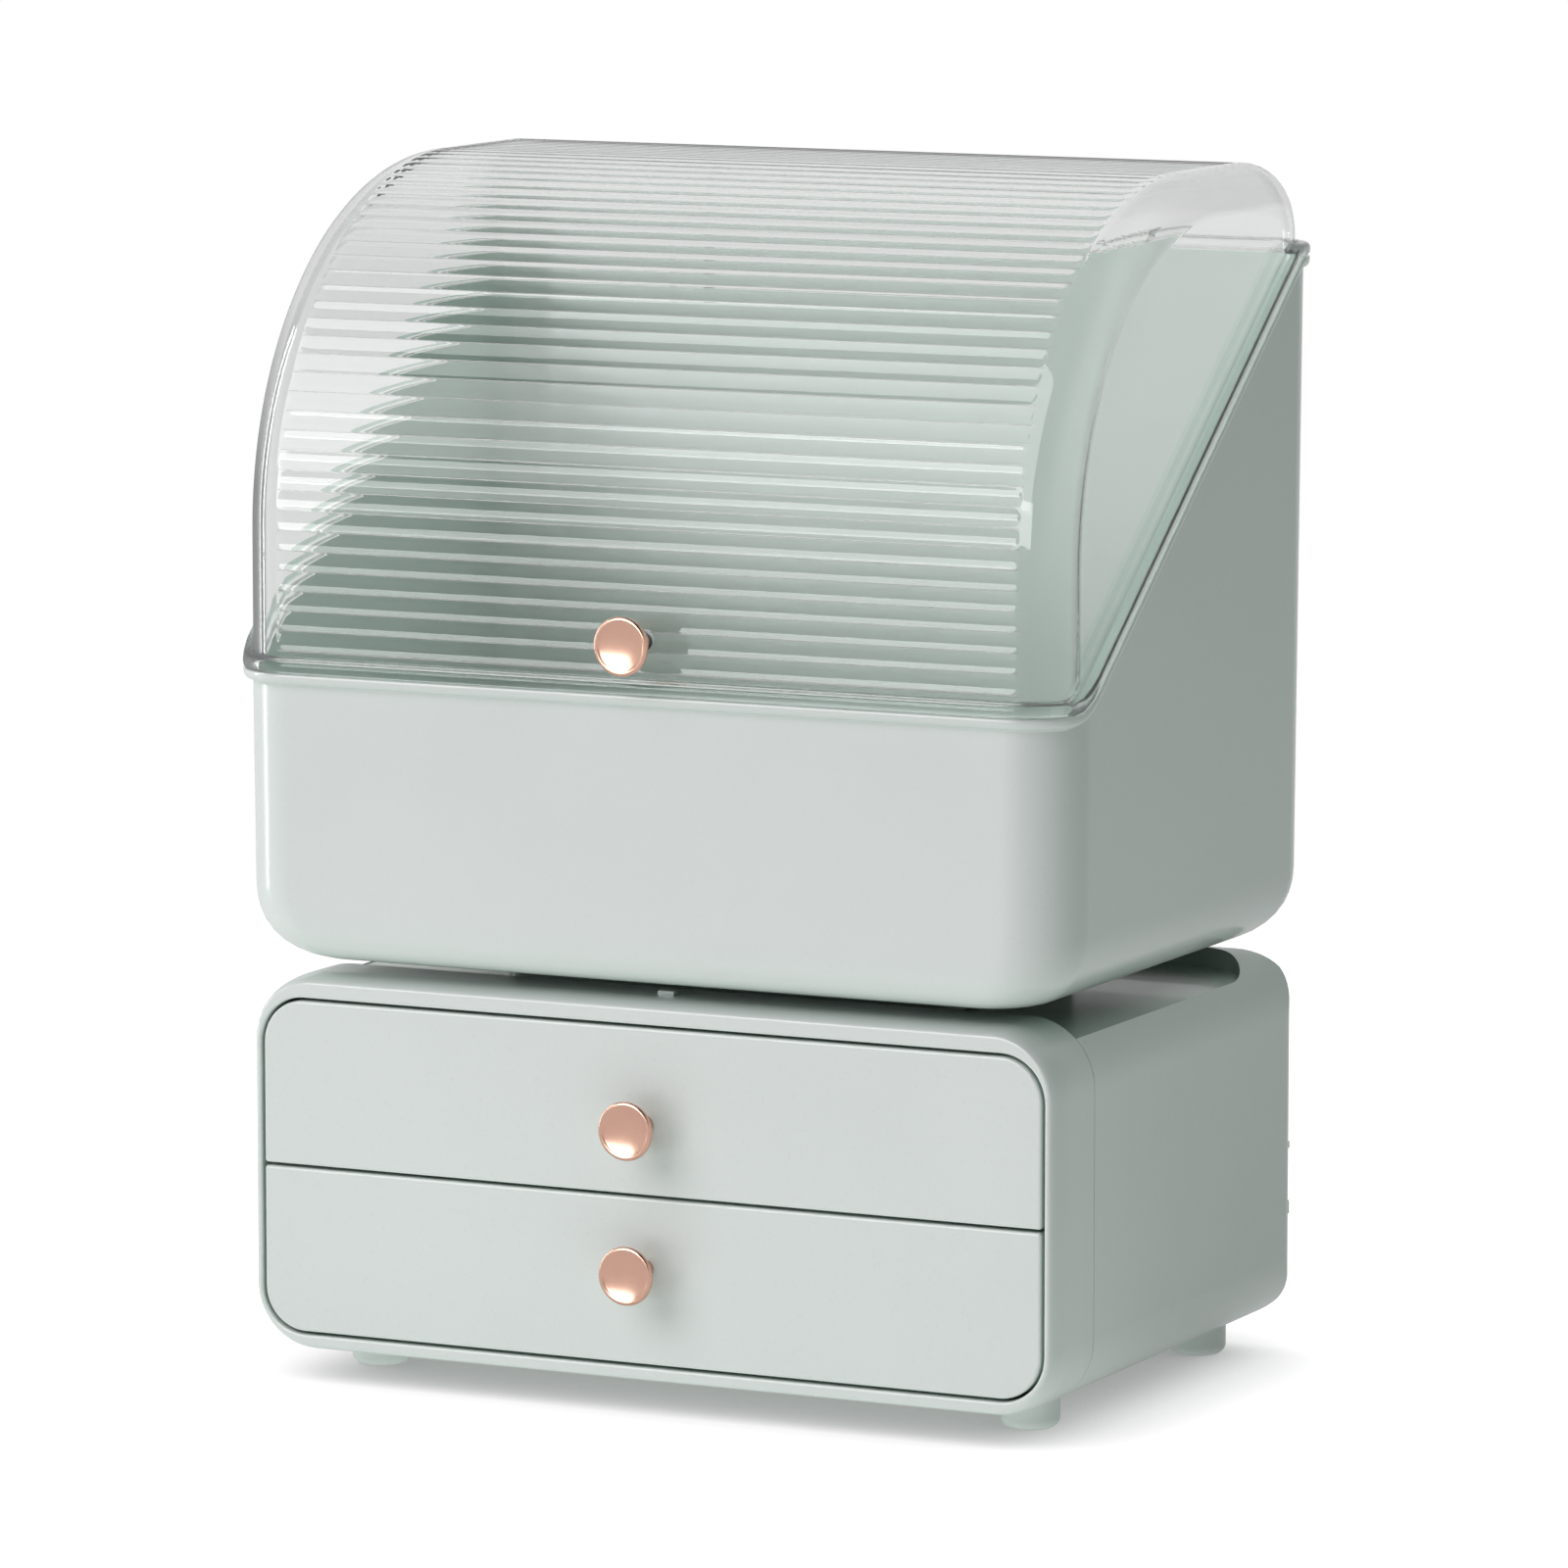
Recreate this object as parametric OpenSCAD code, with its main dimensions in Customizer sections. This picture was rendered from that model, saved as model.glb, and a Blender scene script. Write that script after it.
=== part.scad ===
// Dustproof makeup organizer: a two-drawer cabinet that carries an open bin under a fluted,
// clear lid. Millimetres, +Z up, drawers towards -Y. The origin is on the resting plane,
// halfway between the lid's knob and the hinges.

/* [Cabinet] */
// Width of the cabinet
cabinet_w = 262; // [220:1:320]
// Depth of the cabinet, from the bezel's face to the back
cabinet_d = 176; // [150:1:230]
// Height of the cabinet without its feet
cabinet_h = 113.2; // [100:0.1:160]
// Radius of the four long edges, seen from the front
cabinet_edge_r = 20; // [16:0.5:24]
// Radius of the edges around the back
cabinet_back_r = 8; // [3:0.5:12]
// Wall of the cabinet
cabinet_wall = 2.5; // [2:0.1:4]
// Depth of the tray-like recess in the cabinet's top
recess_depth = 6; // [4:0.5:8]
// Back rim of the recess, from the back of the cabinet
recess_back_rim = 8; // [6:0.5:14]
// Strip left at each side of the recess
recess_side_rim = 6; // [5:0.5:9]
// Corner radius of the recess
recess_r = 28; // [8:1:34]

/* [Bezel] */
// Depth of the bezel
bezel_d = 27; // [18:1:34]
// Face of the bezel beside the drawers
bezel_side = 3.7; // [3:0.1:8]
// Face of the bezel below the drawers
bezel_bottom = 5.3; // [4.5:0.1:10]
// Face of the bezel above the drawers
bezel_top = 6.8; // [5:0.1:12]
// Corner radius of the drawer opening
opening_r = 14; // [8:0.5:18]
// How far the bezel's outer edge rolls inwards at its face
bezel_roll_in = 2.6; // [1:0.1:2.8]
// How far back that roll reaches
bezel_roll_back = 12; // [4:0.5:16]
// Lap of the bezel's tongue into the cabinet
tongue_lap = 5; // [3:0.5:8]
// Thickness of that tongue
tongue_wall = 1; // [0.8:0.1:1]

/* [Drawers] */
// Gap around each drawer front
front_gap = 0.9; // [0.5:0.1:1.5]
// Depth of the cap-shaped drawer front
front_d = 8; // [6:0.5:12]
// Face of the drawer front
front_face = 2.5; // [2:0.1:4]
// Edge of the drawer front
front_edge = 1.5; // [1.2:0.1:2]
// Height of a drawer tray at its sides
tray_h = 37; // [25:0.5:37]
// Wall of a tray
tray_wall = 2; // [1.5:0.1:3]
// Radius of a tray's long bottom edges
tray_r = 14; // [10:0.5:18]
// Side clearance of a tray inside its front
tray_fit = 0.4; // [0.2:0.1:0.8]
// Free space behind a tray
tray_back_gap = 2.3; // [1:0.1:6]
// Running clearance of the trays
run_gap = 0.3; // [0.2:0.05:0.5]
// Length behind the bezel that a tray keeps when it is pulled out to its stop
tray_hold = 22; // [12:1:80]
// Height of a tray with its stop tab
tab_top = 44.6; // [40:0.1:44.6]
// Width of the stop tab
tab_w = 120; // [40:1:150]
// How far a stop rib reaches over the tab
stop_overlap = 1; // [0.6:0.1:1.5]
// Thickness of ribs, rails and ledges
rib_t = 2; // [1.5:0.1:3]
// Thickness of the shelf between the drawers
shelf_t = 2; // [1.5:0.1:2.4]

/* [Knobs] */
// Diameter of a knob
knob_dia = 17.4; // [14:0.1:20]
// Thickness of a knob's head
knob_head = 4.4; // [4:0.1:6]
// Length of a knob's stem
stem_len = 9; // [6:0.5:14]
// Diameter of a knob's stem
stem_dia = 5.6; // [5:0.1:7]
// Height of a drawer knob from the line between the drawers
knob_offset = 21.3; // [12:0.1:26]
// Diameter of the knob screws
screw_dia = 3; // [2.5:0.1:3.5]
// Diameter of a knob screw's head
screw_head_dia = 6; // [5:0.1:8]
// Height of a knob screw's head
screw_head_h = 1.8; // [1.2:0.1:3]
// Reach of a knob screw into the stem
screw_grip = 6; // [4:0.5:8]
// Radial play around a knob screw
screw_play = 0.05; // [0.03:0.01:0.1]

/* [Feet] */
// Height of the feet under the cabinet
foot_h = 8.8; // [5:0.1:14]
// Diameter of a foot
foot_dia = 17.6; // [12:0.1:22]
// Radius of a foot's lower edge
foot_edge_r = 3; // [1:0.5:4]
// Diameter of the peg that plugs a foot into the cabinet's floor
peg_dia = 6; // [4:0.1:8]
// Distance of the feet from the cabinet's sides
foot_inset_x = 24.2; // [20:0.1:40]
// Distance of the front feet from the cabinet's face
foot_inset_front = 36; // [34:0.5:50]
// Distance of the back feet from the cabinet's back
foot_inset_back = 19; // [17:0.5:40]

/* [Bin] */
// How far the bin's foot stands out of the cabinet's sides
bin_side_out = 3; // [2:0.1:6]
// How far the bin stands out of the cabinet's face and back
bin_front_out = 4.3; // [2:0.1:6]
// Half the bin's widening from its foot to its rim
bin_draft = 1.8; // [0:0.1:2.4]
// Height of the bin's underside over the cabinet's top
bin_lift = 4.2; // [3:0.1:8]
// Height of the front lip over the bin's underside
lip_h = 85.9; // [60:0.1:100]
// Height of the back rim over the bin's underside
back_h = 205.2; // [170:0.1:240]
// Radius of the bin's long bottom edges at its sides
bin_side_r = 22; // [14:0.5:24]
// Radius of the bin's bottom edges at its front and back
bin_front_r = 14; // [8:0.5:18]
// Radius of the bin's upright corners
bin_corner_r = 19.5; // [14:0.5:26]
// Wall of the bin
bin_wall = 2.5; // [2:0.1:4]
// Thickness of the bead around the rim
bead_t = 2.6; // [1.5:0.1:4]
// How far the rim's bead and the lid's flange stand out of the bin
rim_out = 2.9; // [2:0.1:4.5]
// Distance of the sloping rim's foot from the cabinet's face
knee_inset = 6.3; // [4:0.1:30]
// Depth of the level land at the back of the rim
land_d = 19.8; // [4:0.1:24]
// Radius of the rim's bend above the lip
knee_r = 12; // [6:0.5:20]
// Width of the bin's plinth
plinth_w = 150; // [110:1:200]
// Depth of the bin's plinth
plinth_d = 90; // [80:1:110]
// Corner radius of the plinth
plinth_r = 8; // [4:0.5:16]

/* [Lid] */
// Radius of the lid's front curve
lid_r = 107; // [90:0.5:110]
// Radius of the lid's curve down to its back
lid_back_r = 22; // [14:0.5:26]
// How far the lid's sides stand out of the cabinet's
lid_side_out = 2.2; // [1:0.1:3]
// Radius of the lid's edges along both sides
lid_side_r = 13; // [8:0.5:13]
// Height of the lid's top over the bin's front lip
lid_h = 147.4; // [140:0.1:180]
// Wall of the lid
lid_wall = 2.2; // [1.8:0.1:3]
// How far the lid's front stands out of the cabinet's face
lid_out = 2; // [0:0.1:2.4]
// Setback of the lid's back from the cabinet's back
lid_back_inset = 1.4; // [0:0.1:4]
// Height of the flange around the lid's foot
flange_h = 4.4; // [3:0.1:6]
// Gap between the lid's flange and the rim's bead
seat_gap = 0.3; // [0.2:0.05:0.5]
// Height of the lid's knob over the front lip
lid_knob_h = 15.3; // [14:0.1:30]
// Spacing of the flutes around the lid's front and top
flute_pitch = 5.92; // [4:0.01:8]
// Depth of a flute
flute_depth = 0.32; // [0.2:0.02:0.5]
// Width of the ridge left between two flutes
flute_land = 0.3; // [0.2:0.05:1]
// Height of the lowest flute's middle over the front lip
flute_start = 9.4; // [9:0.1:20]
// Smooth margin from the lid's sides to the flutes' ends
flute_margin = 13.4; // [13.4:0.1:30]

/* [Hinge] */
// Distance of each hinge from the middle
hinge_x = 75; // [30:1:95]
// Width of the lid's knuckle
knuckle_w = 12; // [8:0.5:20]
// Width of each of the bin's ears
ear_w = 5; // [3:0.5:8]
// Diameter of the knuckles
knuckle_dia = 8; // [7:0.1:9]
// Diameter of the hinge pins
pin_dia = 3; // [2:0.1:4]
// Radial play of a hinge pin
pin_play = 0.05; // [0.02:0.01:0.1]
// Side gap between knuckle and ears
knuckle_gap = 0.4; // [0.3:0.1:1]
// Distance of the hinge line behind the bin's back
hinge_back = 5.2; // [5:0.1:8]
// Distance of the hinge line below the back rim
hinge_drop = 7; // [6.6:0.1:10]

/* [Hidden] */
$fn = 64;

sage = [0.78, 0.83, 0.81];
sage_deep = [0.70, 0.76, 0.73];
clear_tint = [0.86, 0.92, 0.90, 0.4];
rose_gold = [0.85, 0.64, 0.55];
steel = [0.7, 0.7, 0.72];

cut = 1;                                    // overshoot of every cutting tool
half_w = cabinet_w / 2;
front_reach = lid_out + stem_len + knob_head;
back_reach = bin_front_out + hinge_back + knuckle_dia / 2;
mid_y = (front_reach - back_reach) / 2;     // middle of the cabinet, seen from above
face_y = mid_y - cabinet_d / 2;
back_y = mid_y + cabinet_d / 2;
floor_z = foot_h;
top_z = foot_h + cabinet_h;
mid_z = floor_z + cabinet_h / 2;            // middle of the cabinet, seen from the front
seam_y = face_y + bezel_d;
inside_y = seam_y + tongue_lap + 1;         // front of what lies behind the bezel's tongue
recess_z = top_z - recess_depth;
ceiling_z = recess_z - cabinet_wall;
inner_r = cabinet_edge_r - cabinet_wall;

opening_w = cabinet_w - 2 * bezel_side;
opening_z0 = floor_z + bezel_bottom;
opening_z1 = top_z - bezel_top;
split_z = (opening_z0 + opening_z1) / 2;
fit = 0.1;                                  // clearance of parts that plug together

front_w = opening_w - 2 * front_gap;
front_h = (opening_z1 - opening_z0 - 3 * front_gap) / 2;
front_r = opening_r - front_gap;
lower_front_z = opening_z0 + front_gap;
upper_front_z = lower_front_z + front_h + front_gap;
tray_lift = front_edge + fit;               // the tray's floor over the front's lower edge
tray_w = front_w - 2 * front_edge - 2 * tray_fit;
tray_y0 = face_y + front_face;
tray_y1 = back_y - cabinet_wall - tray_back_gap;
tab_back_y = tray_y1;
stop_y = seam_y + tray_hold;                // back of the stops; 120 mm in front of the tabs
lower_tray_z = lower_front_z + tray_lift;
upper_tray_z = upper_front_z + tray_lift;
shelf_z = split_z - shelf_t / 2;
rail_gap = tray_w / 2 + run_gap;            // face of every rail that guides a tray
shelf_w = cabinet_w - 2 * cabinet_wall - 2 * fit;
runner_w = 8;
runner_x = tray_w / 2 - tray_r - runner_w;
rail_z = lower_tray_z + tray_h - 12;
rail_h = 4;
guide_h = 10;
small_r = 1;                                // corners of the fronts at the line between them

socket_h = bezel_bottom - tongue_wall - 0.3;   // stays under the bezel's tongue
socket_wall = 2;
peg_h = socket_h - 0.6;
foot_x = half_w - foot_inset_x;
foot_front_y = face_y + foot_inset_front;
foot_back_y = back_y - foot_inset_back;

bin_z = top_z + bin_lift;
lip_z = bin_z + lip_h;
land_z = bin_z + back_h;
bin_back_y = back_y + bin_front_out;
knee_y = face_y + knee_inset;
land_y = bin_back_y - land_d;
slope = atan((land_z - lip_z) / (land_y - knee_y));
land_r = 4;
knee_steps = 6;
slice_steps = 6;
bin_base_half = half_w + bin_side_out;
bin_top_half = bin_base_half + bin_draft;
bin_d = cabinet_d + 2 * bin_front_out;
rim_w = 2 * (bin_base_half + bin_draft / 2 + rim_out);
rim_d = bin_d + 2 * rim_out;
rim_r = bin_corner_r + rim_out;
plinth_y = (seam_y + back_y - recess_back_rim) / 2;
plinth_wall = 2.5;
locator_h = 4;
locator_len = 60;

lid_half = half_w + lid_side_out;
lid_top_z = lip_z + lid_h;
lid_face_y = face_y - lid_out;
lid_back_y = back_y - lid_back_inset;
curve_y = lid_face_y + lid_r;
curve_z = lid_top_z - lid_r;
lid_foot_z = curve_z - lid_r;
lid_knob_z = lip_z + lid_knob_h;

flute_w = flute_pitch - flute_land;
flute_r = pow(flute_w / 2, 2) / (2 * flute_depth) + flute_depth / 2;
flute_off = flute_r - flute_depth;          // of a flute's axis outside the lid's face
flute_foot_z = lip_z + flute_start;
upright_run = curve_z - flute_foot_z;
curve_run = lid_r * PI / 2;
top_run = lid_back_y - lid_back_r - curve_y;
flute_count = floor((upright_run + curve_run + top_run) / flute_pitch - 0.5) + 1;
knob_pad_dia = stem_dia + 1.6;

hinge_y = bin_back_y + hinge_back;
hinge_z = land_z - hinge_drop;
hinge_w = knuckle_w + 2 * knuckle_gap + 2 * ear_w;
pin_head = 1;

// ---- shared shapes --------------------------------------------------------------------

// A rectangle with round corners, centred, exact in every arc
module round_rect(w, h, r) {
    square([w - 2 * r, h], center = true);
    square([w, h - 2 * r], center = true);
    for (sx = [-1, 1], sy = [-1, 1])
        translate([sx * (w / 2 - r), sy * (h / 2 - r)]) circle(r);
}

// That rectangle seen from the front and pushed from y0 to y1, with its middle at height z
module front_prism(w, h, r, y0, y1, z) {
    translate([0, y1, z]) rotate([90, 0, 0]) linear_extrude(y1 - y0) round_rect(w, h, r);
}

// A rectangle seen from above, from z0 to z1
module plan_prism(w, d, r, z0, z1, y = mid_y) {
    translate([0, y, z0]) linear_extrude(z1 - z0) round_rect(w, d, r);
}

// A polygon of [y, z] points, pushed across the whole width
module side_prism(points, w) {
    translate([-w / 2, 0, 0]) rotate([90, 0, 90]) linear_extrude(w) polygon(points);
}

// A block from corner to corner
module block(x0, x1, y0, y1, z0, z1) {
    translate([x0, y0, z0]) cube([x1 - x0, y1 - y0, z1 - z0]);
}

// Both sides of the middle plane
module both_sides() {
    children();
    mirror([1, 0, 0]) children();
}

// A cylinder along Y that starts at y and runs towards the back
module along_y(d, len, x, y, z) {
    translate([x, y + len, z]) rotate([90, 0, 0]) cylinder(h = len, d = d);
}

// A cylinder along X, centred at x
module along_x(d, len, x, y, z) {
    translate([x - len / 2, y, z]) rotate([0, 90, 0]) cylinder(h = len, d = d);
}

// ---- cabinet --------------------------------------------------------------------------

module cabinet_shell() {
    color(sage) difference() {
        union() {
            difference() {
                intersection() {
                    front_prism(cabinet_w, cabinet_h, cabinet_edge_r, seam_y, back_y, mid_z);
                    plan_prism(cabinet_w, cabinet_d + bezel_d, cabinet_back_r,
                               floor_z, top_z, mid_y - bezel_d / 2);
                    side_round();
                }
                front_prism(cabinet_w - 2 * cabinet_wall, ceiling_z - floor_z - cabinet_wall,
                            inner_r, seam_y - cut, back_y - cabinet_wall,
                            (ceiling_z + floor_z + cabinet_wall) / 2);
                recess();
            }
            floor_runners();
            side_ledges();
            ceiling_stop();
            bin_locators();
            foot_sockets();
        }
        for (sx = [-1, 1], y = [foot_front_y, foot_back_y])
            translate([sx * foot_x, y, floor_z - cut]) cylinder(h = socket_h + cut, d = peg_dia + 2 * fit);
    }
}

// The back edges at top and bottom, seen from the side
module side_round() {
    translate([-half_w, mid_y - bezel_d / 2, mid_z]) rotate([90, 0, 90])
        linear_extrude(cabinet_w) round_rect(cabinet_d + bezel_d, cabinet_h, cabinet_back_r);
}

module recess() {
    w = cabinet_w - 2 * recess_side_rim;
    y1 = back_y - recess_back_rim;
    d = y1 - seam_y + 2 * recess_r;
    plan_prism(w, d, recess_r, recess_z, top_z + cut, y1 - d / 2);
}

// Two long ribs on the floor that carry the lower drawer
module floor_runners() {
    both_sides()
        block(runner_x, runner_x + rib_t, inside_y, back_y - cabinet_wall,
              floor_z + cabinet_wall / 2, lower_tray_z - run_gap);
}

// The ledges under the shelf and the rails beside the lower drawer
module side_ledges() {
    both_sides() {
        block(rail_gap, half_w - cabinet_wall / 2, inside_y, back_y - cabinet_wall,
              shelf_z - rib_t, shelf_z);
        block(rail_gap, half_w - cabinet_wall / 2, inside_y, back_y - cabinet_wall,
              rail_z, rail_z + rail_h);
    }
}

// The rib under the ceiling that stops the upper drawer
module ceiling_stop() {
    block(-tab_w / 2, tab_w / 2, stop_y - rib_t, stop_y,
          upper_tray_z + tab_top - stop_overlap, ceiling_z + cabinet_wall / 2);
}

// Two ribs in the recess that hold the bin's plinth sideways
module bin_locators() {
    x = plinth_w / 2 - plinth_wall - 0.5;
    both_sides()
        block(x - rib_t, x, plinth_y - locator_len / 2, plinth_y + locator_len / 2,
              recess_z - cabinet_wall / 2, recess_z + locator_h);
}

// Round bosses on the floor that take the pegs of the feet
module foot_sockets() {
    for (sx = [-1, 1], y = [foot_front_y, foot_back_y])
        translate([sx * foot_x, y, floor_z + cabinet_wall / 2])
            cylinder(h = socket_h - cabinet_wall / 2, d = peg_dia + 2 * fit + 2 * socket_wall);
}

module front_bezel() {
    steps = 6;
    color(sage) union() {
        difference() {
            hull() {
                front_prism(cabinet_w, cabinet_h, cabinet_edge_r, seam_y - cut, seam_y, mid_z, $fn = 48);
                for (i = [0 : steps]) {
                    back = bezel_roll_back * i / steps;
                    inset = bezel_roll_in * (1 - sqrt(1 - pow(1 - i / steps, 2)));
                    front_prism(cabinet_w - 2 * inset, cabinet_h - 2 * inset, cabinet_edge_r - inset,
                                face_y + back, face_y + back + 0.1, mid_z, $fn = 48);
                }
            }
            drawer_opening(face_y - cut, seam_y + cut);
        }
        difference() {
            intersection() {
                front_prism(opening_w + 2 * tongue_wall, opening_z1 - opening_z0 + 2 * tongue_wall,
                            opening_r + tongue_wall, seam_y - cut, seam_y + tongue_lap, split_z);
                front_prism(cabinet_w - 2 * cabinet_wall - 2 * fit,
                            ceiling_z - floor_z - cabinet_wall - 2 * fit, inner_r - fit,
                            seam_y - cut, seam_y + tongue_lap, (ceiling_z + floor_z + cabinet_wall) / 2);
            }
            drawer_opening(seam_y - 2 * cut, seam_y + tongue_lap + cut);
        }
        locating_nub();
    }
}

module drawer_opening(y0, y1) {
    front_prism(opening_w, opening_z1 - opening_z0, opening_r, y0, y1, split_z);
}

// The small nub on top of the bezel, in the middle under the bin
module locating_nub() {
    nub_w = 5.4;
    nub_h = 1.4;
    y = face_y + bezel_d / 2;
    block(-nub_w / 2, nub_w / 2, y, y + 3, top_z - 1, top_z + nub_h);
}

module drawer_shelf() {
    y0 = inside_y;
    y1 = back_y - cabinet_wall - fit;
    rib_z = lower_tray_z + tab_top - stop_overlap;
    color(sage_deep) {
        block(-shelf_w / 2, shelf_w / 2, y0, y1, shelf_z, shelf_z + shelf_t);
        block(-tab_w / 2, tab_w / 2, stop_y - rib_t, stop_y, rib_z, shelf_z + shelf_t / 2);
        both_sides() {
            block(runner_x, runner_x + rib_t, y0, y1, shelf_z + shelf_t / 2, upper_tray_z - run_gap);
            block(rail_gap, rail_gap + rib_t, y0, y1, shelf_z + shelf_t / 2, shelf_z + shelf_t + guide_h);
        }
    }
}

// ---- feet -----------------------------------------------------------------------------

module foot(x, y) {
    color(sage) translate([x, y, 0]) rotate_extrude() {
        square([foot_dia / 2 - foot_edge_r, foot_h]);
        translate([0, foot_edge_r]) square([foot_dia / 2, foot_h - foot_edge_r]);
        intersection() {
            translate([foot_dia / 2 - foot_edge_r, foot_edge_r]) circle(foot_edge_r);
            square([foot_dia / 2, foot_edge_r]);
        }
        square([peg_dia / 2, foot_h + peg_h]);
    }
}

module foot_front_left() { foot(-foot_x, foot_front_y); }
module foot_front_right() { foot(foot_x, foot_front_y); }
module foot_back_left() { foot(-foot_x, foot_back_y); }
module foot_back_right() { foot(foot_x, foot_back_y); }

// ---- drawers --------------------------------------------------------------------------

// An open tray with round long edges, and a tab on its rear wall that catches the stop
module drawer_tray(z, knob_z) {
    color(sage_deep) difference() {
        union() {
            difference() {
                tray_prism(tray_w, tray_r, tray_y0, tray_y1, z, z + tray_h);
                tray_prism(tray_w - 2 * tray_wall, tray_r - tray_wall, tray_y0 + tray_wall,
                           tray_y1 - tray_wall, z + tray_wall, z + tray_h + cut);
            }
            block(-tab_w / 2, tab_w / 2, tab_back_y - tray_wall, tab_back_y,
                  z + tray_h - cut, z + tab_top);
        }
        along_y(screw_dia + 2 * screw_play, tray_wall + 2 * cut, 0, tray_y0 - cut, knob_z);
    }
}

// The tray's outside: a box whose two long lower edges are round
module tray_prism(w, r, y0, y1, z0, z1) {
    intersection() {
        front_prism(w, 2 * (z1 - z0), r, y0, y1, z1);
        block(-w / 2, w / 2, y0, y1, z0, z1);
    }
}

// A cap-shaped front whose outer corners follow the opening
module drawer_front(z, corner_side, knob_z) {
    color(sage) difference() {
        front_outline(front_w, front_h, front_r, face_y, face_y + front_d, z + front_h / 2, corner_side);
        front_outline(front_w - 2 * front_edge, front_h - 2 * front_edge, front_r - front_edge,
                      face_y + front_face, face_y + front_d + cut, z + front_h / 2, corner_side);
        along_y(screw_dia + 2 * screw_play, front_face + 2 * cut, 0, face_y - cut, knob_z);
    }
}

// Round corners on one side only: the top (1) or the bottom (-1)
module front_outline(w, h, r, y0, y1, z, corner_side) {
    intersection() {
        front_prism(w, 2 * h, r, y0, y1, z - corner_side * h / 2);
        front_prism(w, h, small_r, y0, y1, z);
    }
}

upper_knob_z = split_z + knob_offset;
lower_knob_z = split_z - knob_offset;

module upper_drawer_tray() { drawer_tray(upper_tray_z, upper_knob_z); }
module lower_drawer_tray() { drawer_tray(lower_tray_z, lower_knob_z); }
module upper_drawer_front() { drawer_front(upper_front_z, 1, upper_knob_z); }
module lower_drawer_front() { drawer_front(lower_front_z, -1, lower_knob_z); }

// ---- knobs ----------------------------------------------------------------------------

// A turned knob: a stem that swells into a disc with a rolled rim and a domed face
module knob(y, z) {
    rim_r = knob_head / 2;
    rim_mid = knob_dia / 2 - rim_r;
    color(rose_gold) translate([0, y, z]) rotate([90, 0, 0]) difference() {
        rotate_extrude() {
            square([stem_dia / 2, stem_len + rim_r]);
            translate([0, stem_len]) square([rim_mid, knob_head]);
            translate([rim_mid, stem_len + rim_r]) circle(rim_r);
        }
        translate([0, 0, -cut]) cylinder(h = screw_grip + cut, d = screw_dia + 2 * screw_play);
    }
}

// The screw that clamps a knob: its head is behind a wall that is thick in all
module knob_screw(y, thick, z) {
    color(steel) {
        along_y(screw_dia, thick + screw_grip - 0.5, 0, y - screw_grip + 0.5, z);
        along_y(screw_head_dia, screw_head_h, 0, y + thick, z);
    }
}

module upper_drawer_knob() { knob(face_y, upper_knob_z); }
module lower_drawer_knob() { knob(face_y, lower_knob_z); }
module lid_knob() { knob(lid_face_y, lid_knob_z); }
module upper_drawer_screw() { knob_screw(face_y, front_face + tray_wall, upper_knob_z); }
module lower_drawer_screw() { knob_screw(face_y, front_face + tray_wall, lower_knob_z); }
module lid_knob_screw() { knob_screw(lid_face_y, lid_wall, lid_knob_z); }

// ---- bin ------------------------------------------------------------------------------

function arc(y, z, r, a0, a1) =
    [for (i = [0 : knee_steps]) let (a = a0 + (a1 - a0) * i / knee_steps) [y + r * cos(a), z + r * sin(a)]];

// The rim seen from the side, raised by d at right angles: lip, bend, slope, land
function rim_line(d) =
    let (far = cabinet_d)
    concat([[-far, lip_z + d]],
           arc(knee_y - knee_r * tan(slope / 2), lip_z + knee_r, knee_r - d, -90, -90 + slope),
           arc(land_y + land_r * tan(slope / 2), land_z - land_r, land_r + d, 90 + slope, 90),
           [[far, land_z + d]]);

function reversed(list) = [for (i = [len(list) - 1 : -1 : 0]) list[i]];

function below_rim(d) = concat(rim_line(d), [[cabinet_d, 0], [-cabinet_d, 0]]);
function above_rim(d) = concat(rim_line(d), [[cabinet_d, 2 * lid_top_z], [-cabinet_d, 2 * lid_top_z]]);
function rim_band(d0, d1) = concat(rim_line(d0), reversed(rim_line(d1)));

// A drafted tub: round below, widening to its top, with every side moved in by inset
module tub(inset, top) {
    side_r = bin_side_r - inset;
    front_r = bin_front_r - inset;
    z0 = bin_z + inset;
    draft_rate = bin_draft / (land_z - bin_z);
    depth = bin_d - 2 * inset;
    hull() {
        for (i = [0 : slice_steps]) {
            a = 90 * i / slice_steps;
            rise = side_r * (1 - cos(a));
            side_in = side_r * (1 - sin(a));
            b = acos(max(0, 1 - rise / front_r));
            front_in = front_r * (1 - sin(b));
            half = bin_base_half + draft_rate * rise - inset - side_in;
            plan_prism(2 * half, depth - 2 * front_in, bin_corner_r - inset - min(front_in, side_in) / 2,
                       z0 + rise, z0 + rise + 0.05, $fn = 48);
        }
        plan_prism(2 * (bin_top_half - inset), depth, bin_corner_r - inset, top - 0.1, top, $fn = 48);
    }
}

module bin() {
    color(sage) difference() {
        union() {
            intersection() {
                tub(0, land_z);
                side_prism(below_rim(-bead_t / 2), rim_w);
            }
            intersection() {
                plan_prism(rim_w, rim_d, rim_r, lip_z - 2 * bead_t, land_z + cut);
                side_prism(rim_band(-bead_t, 0), rim_w + 2);
            }
            plinth();
            hinge_ears();
        }
        tub(bin_wall, land_z + cut);
        along_x(pin_dia + 2 * pin_play, 2 * (hinge_x + hinge_w), 0, hinge_y, hinge_z);
    }
}

// The ring under the bin that stands in the cabinet's recess
module plinth() {
    difference() {
        plan_prism(plinth_w, plinth_d, plinth_r, recess_z + seat_gap, bin_z + bin_wall / 2, plinth_y);
        plan_prism(plinth_w - 2 * plinth_wall, plinth_d - 2 * plinth_wall, plinth_r - plinth_wall,
                   recess_z, bin_z + cut, plinth_y);
    }
}

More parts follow.
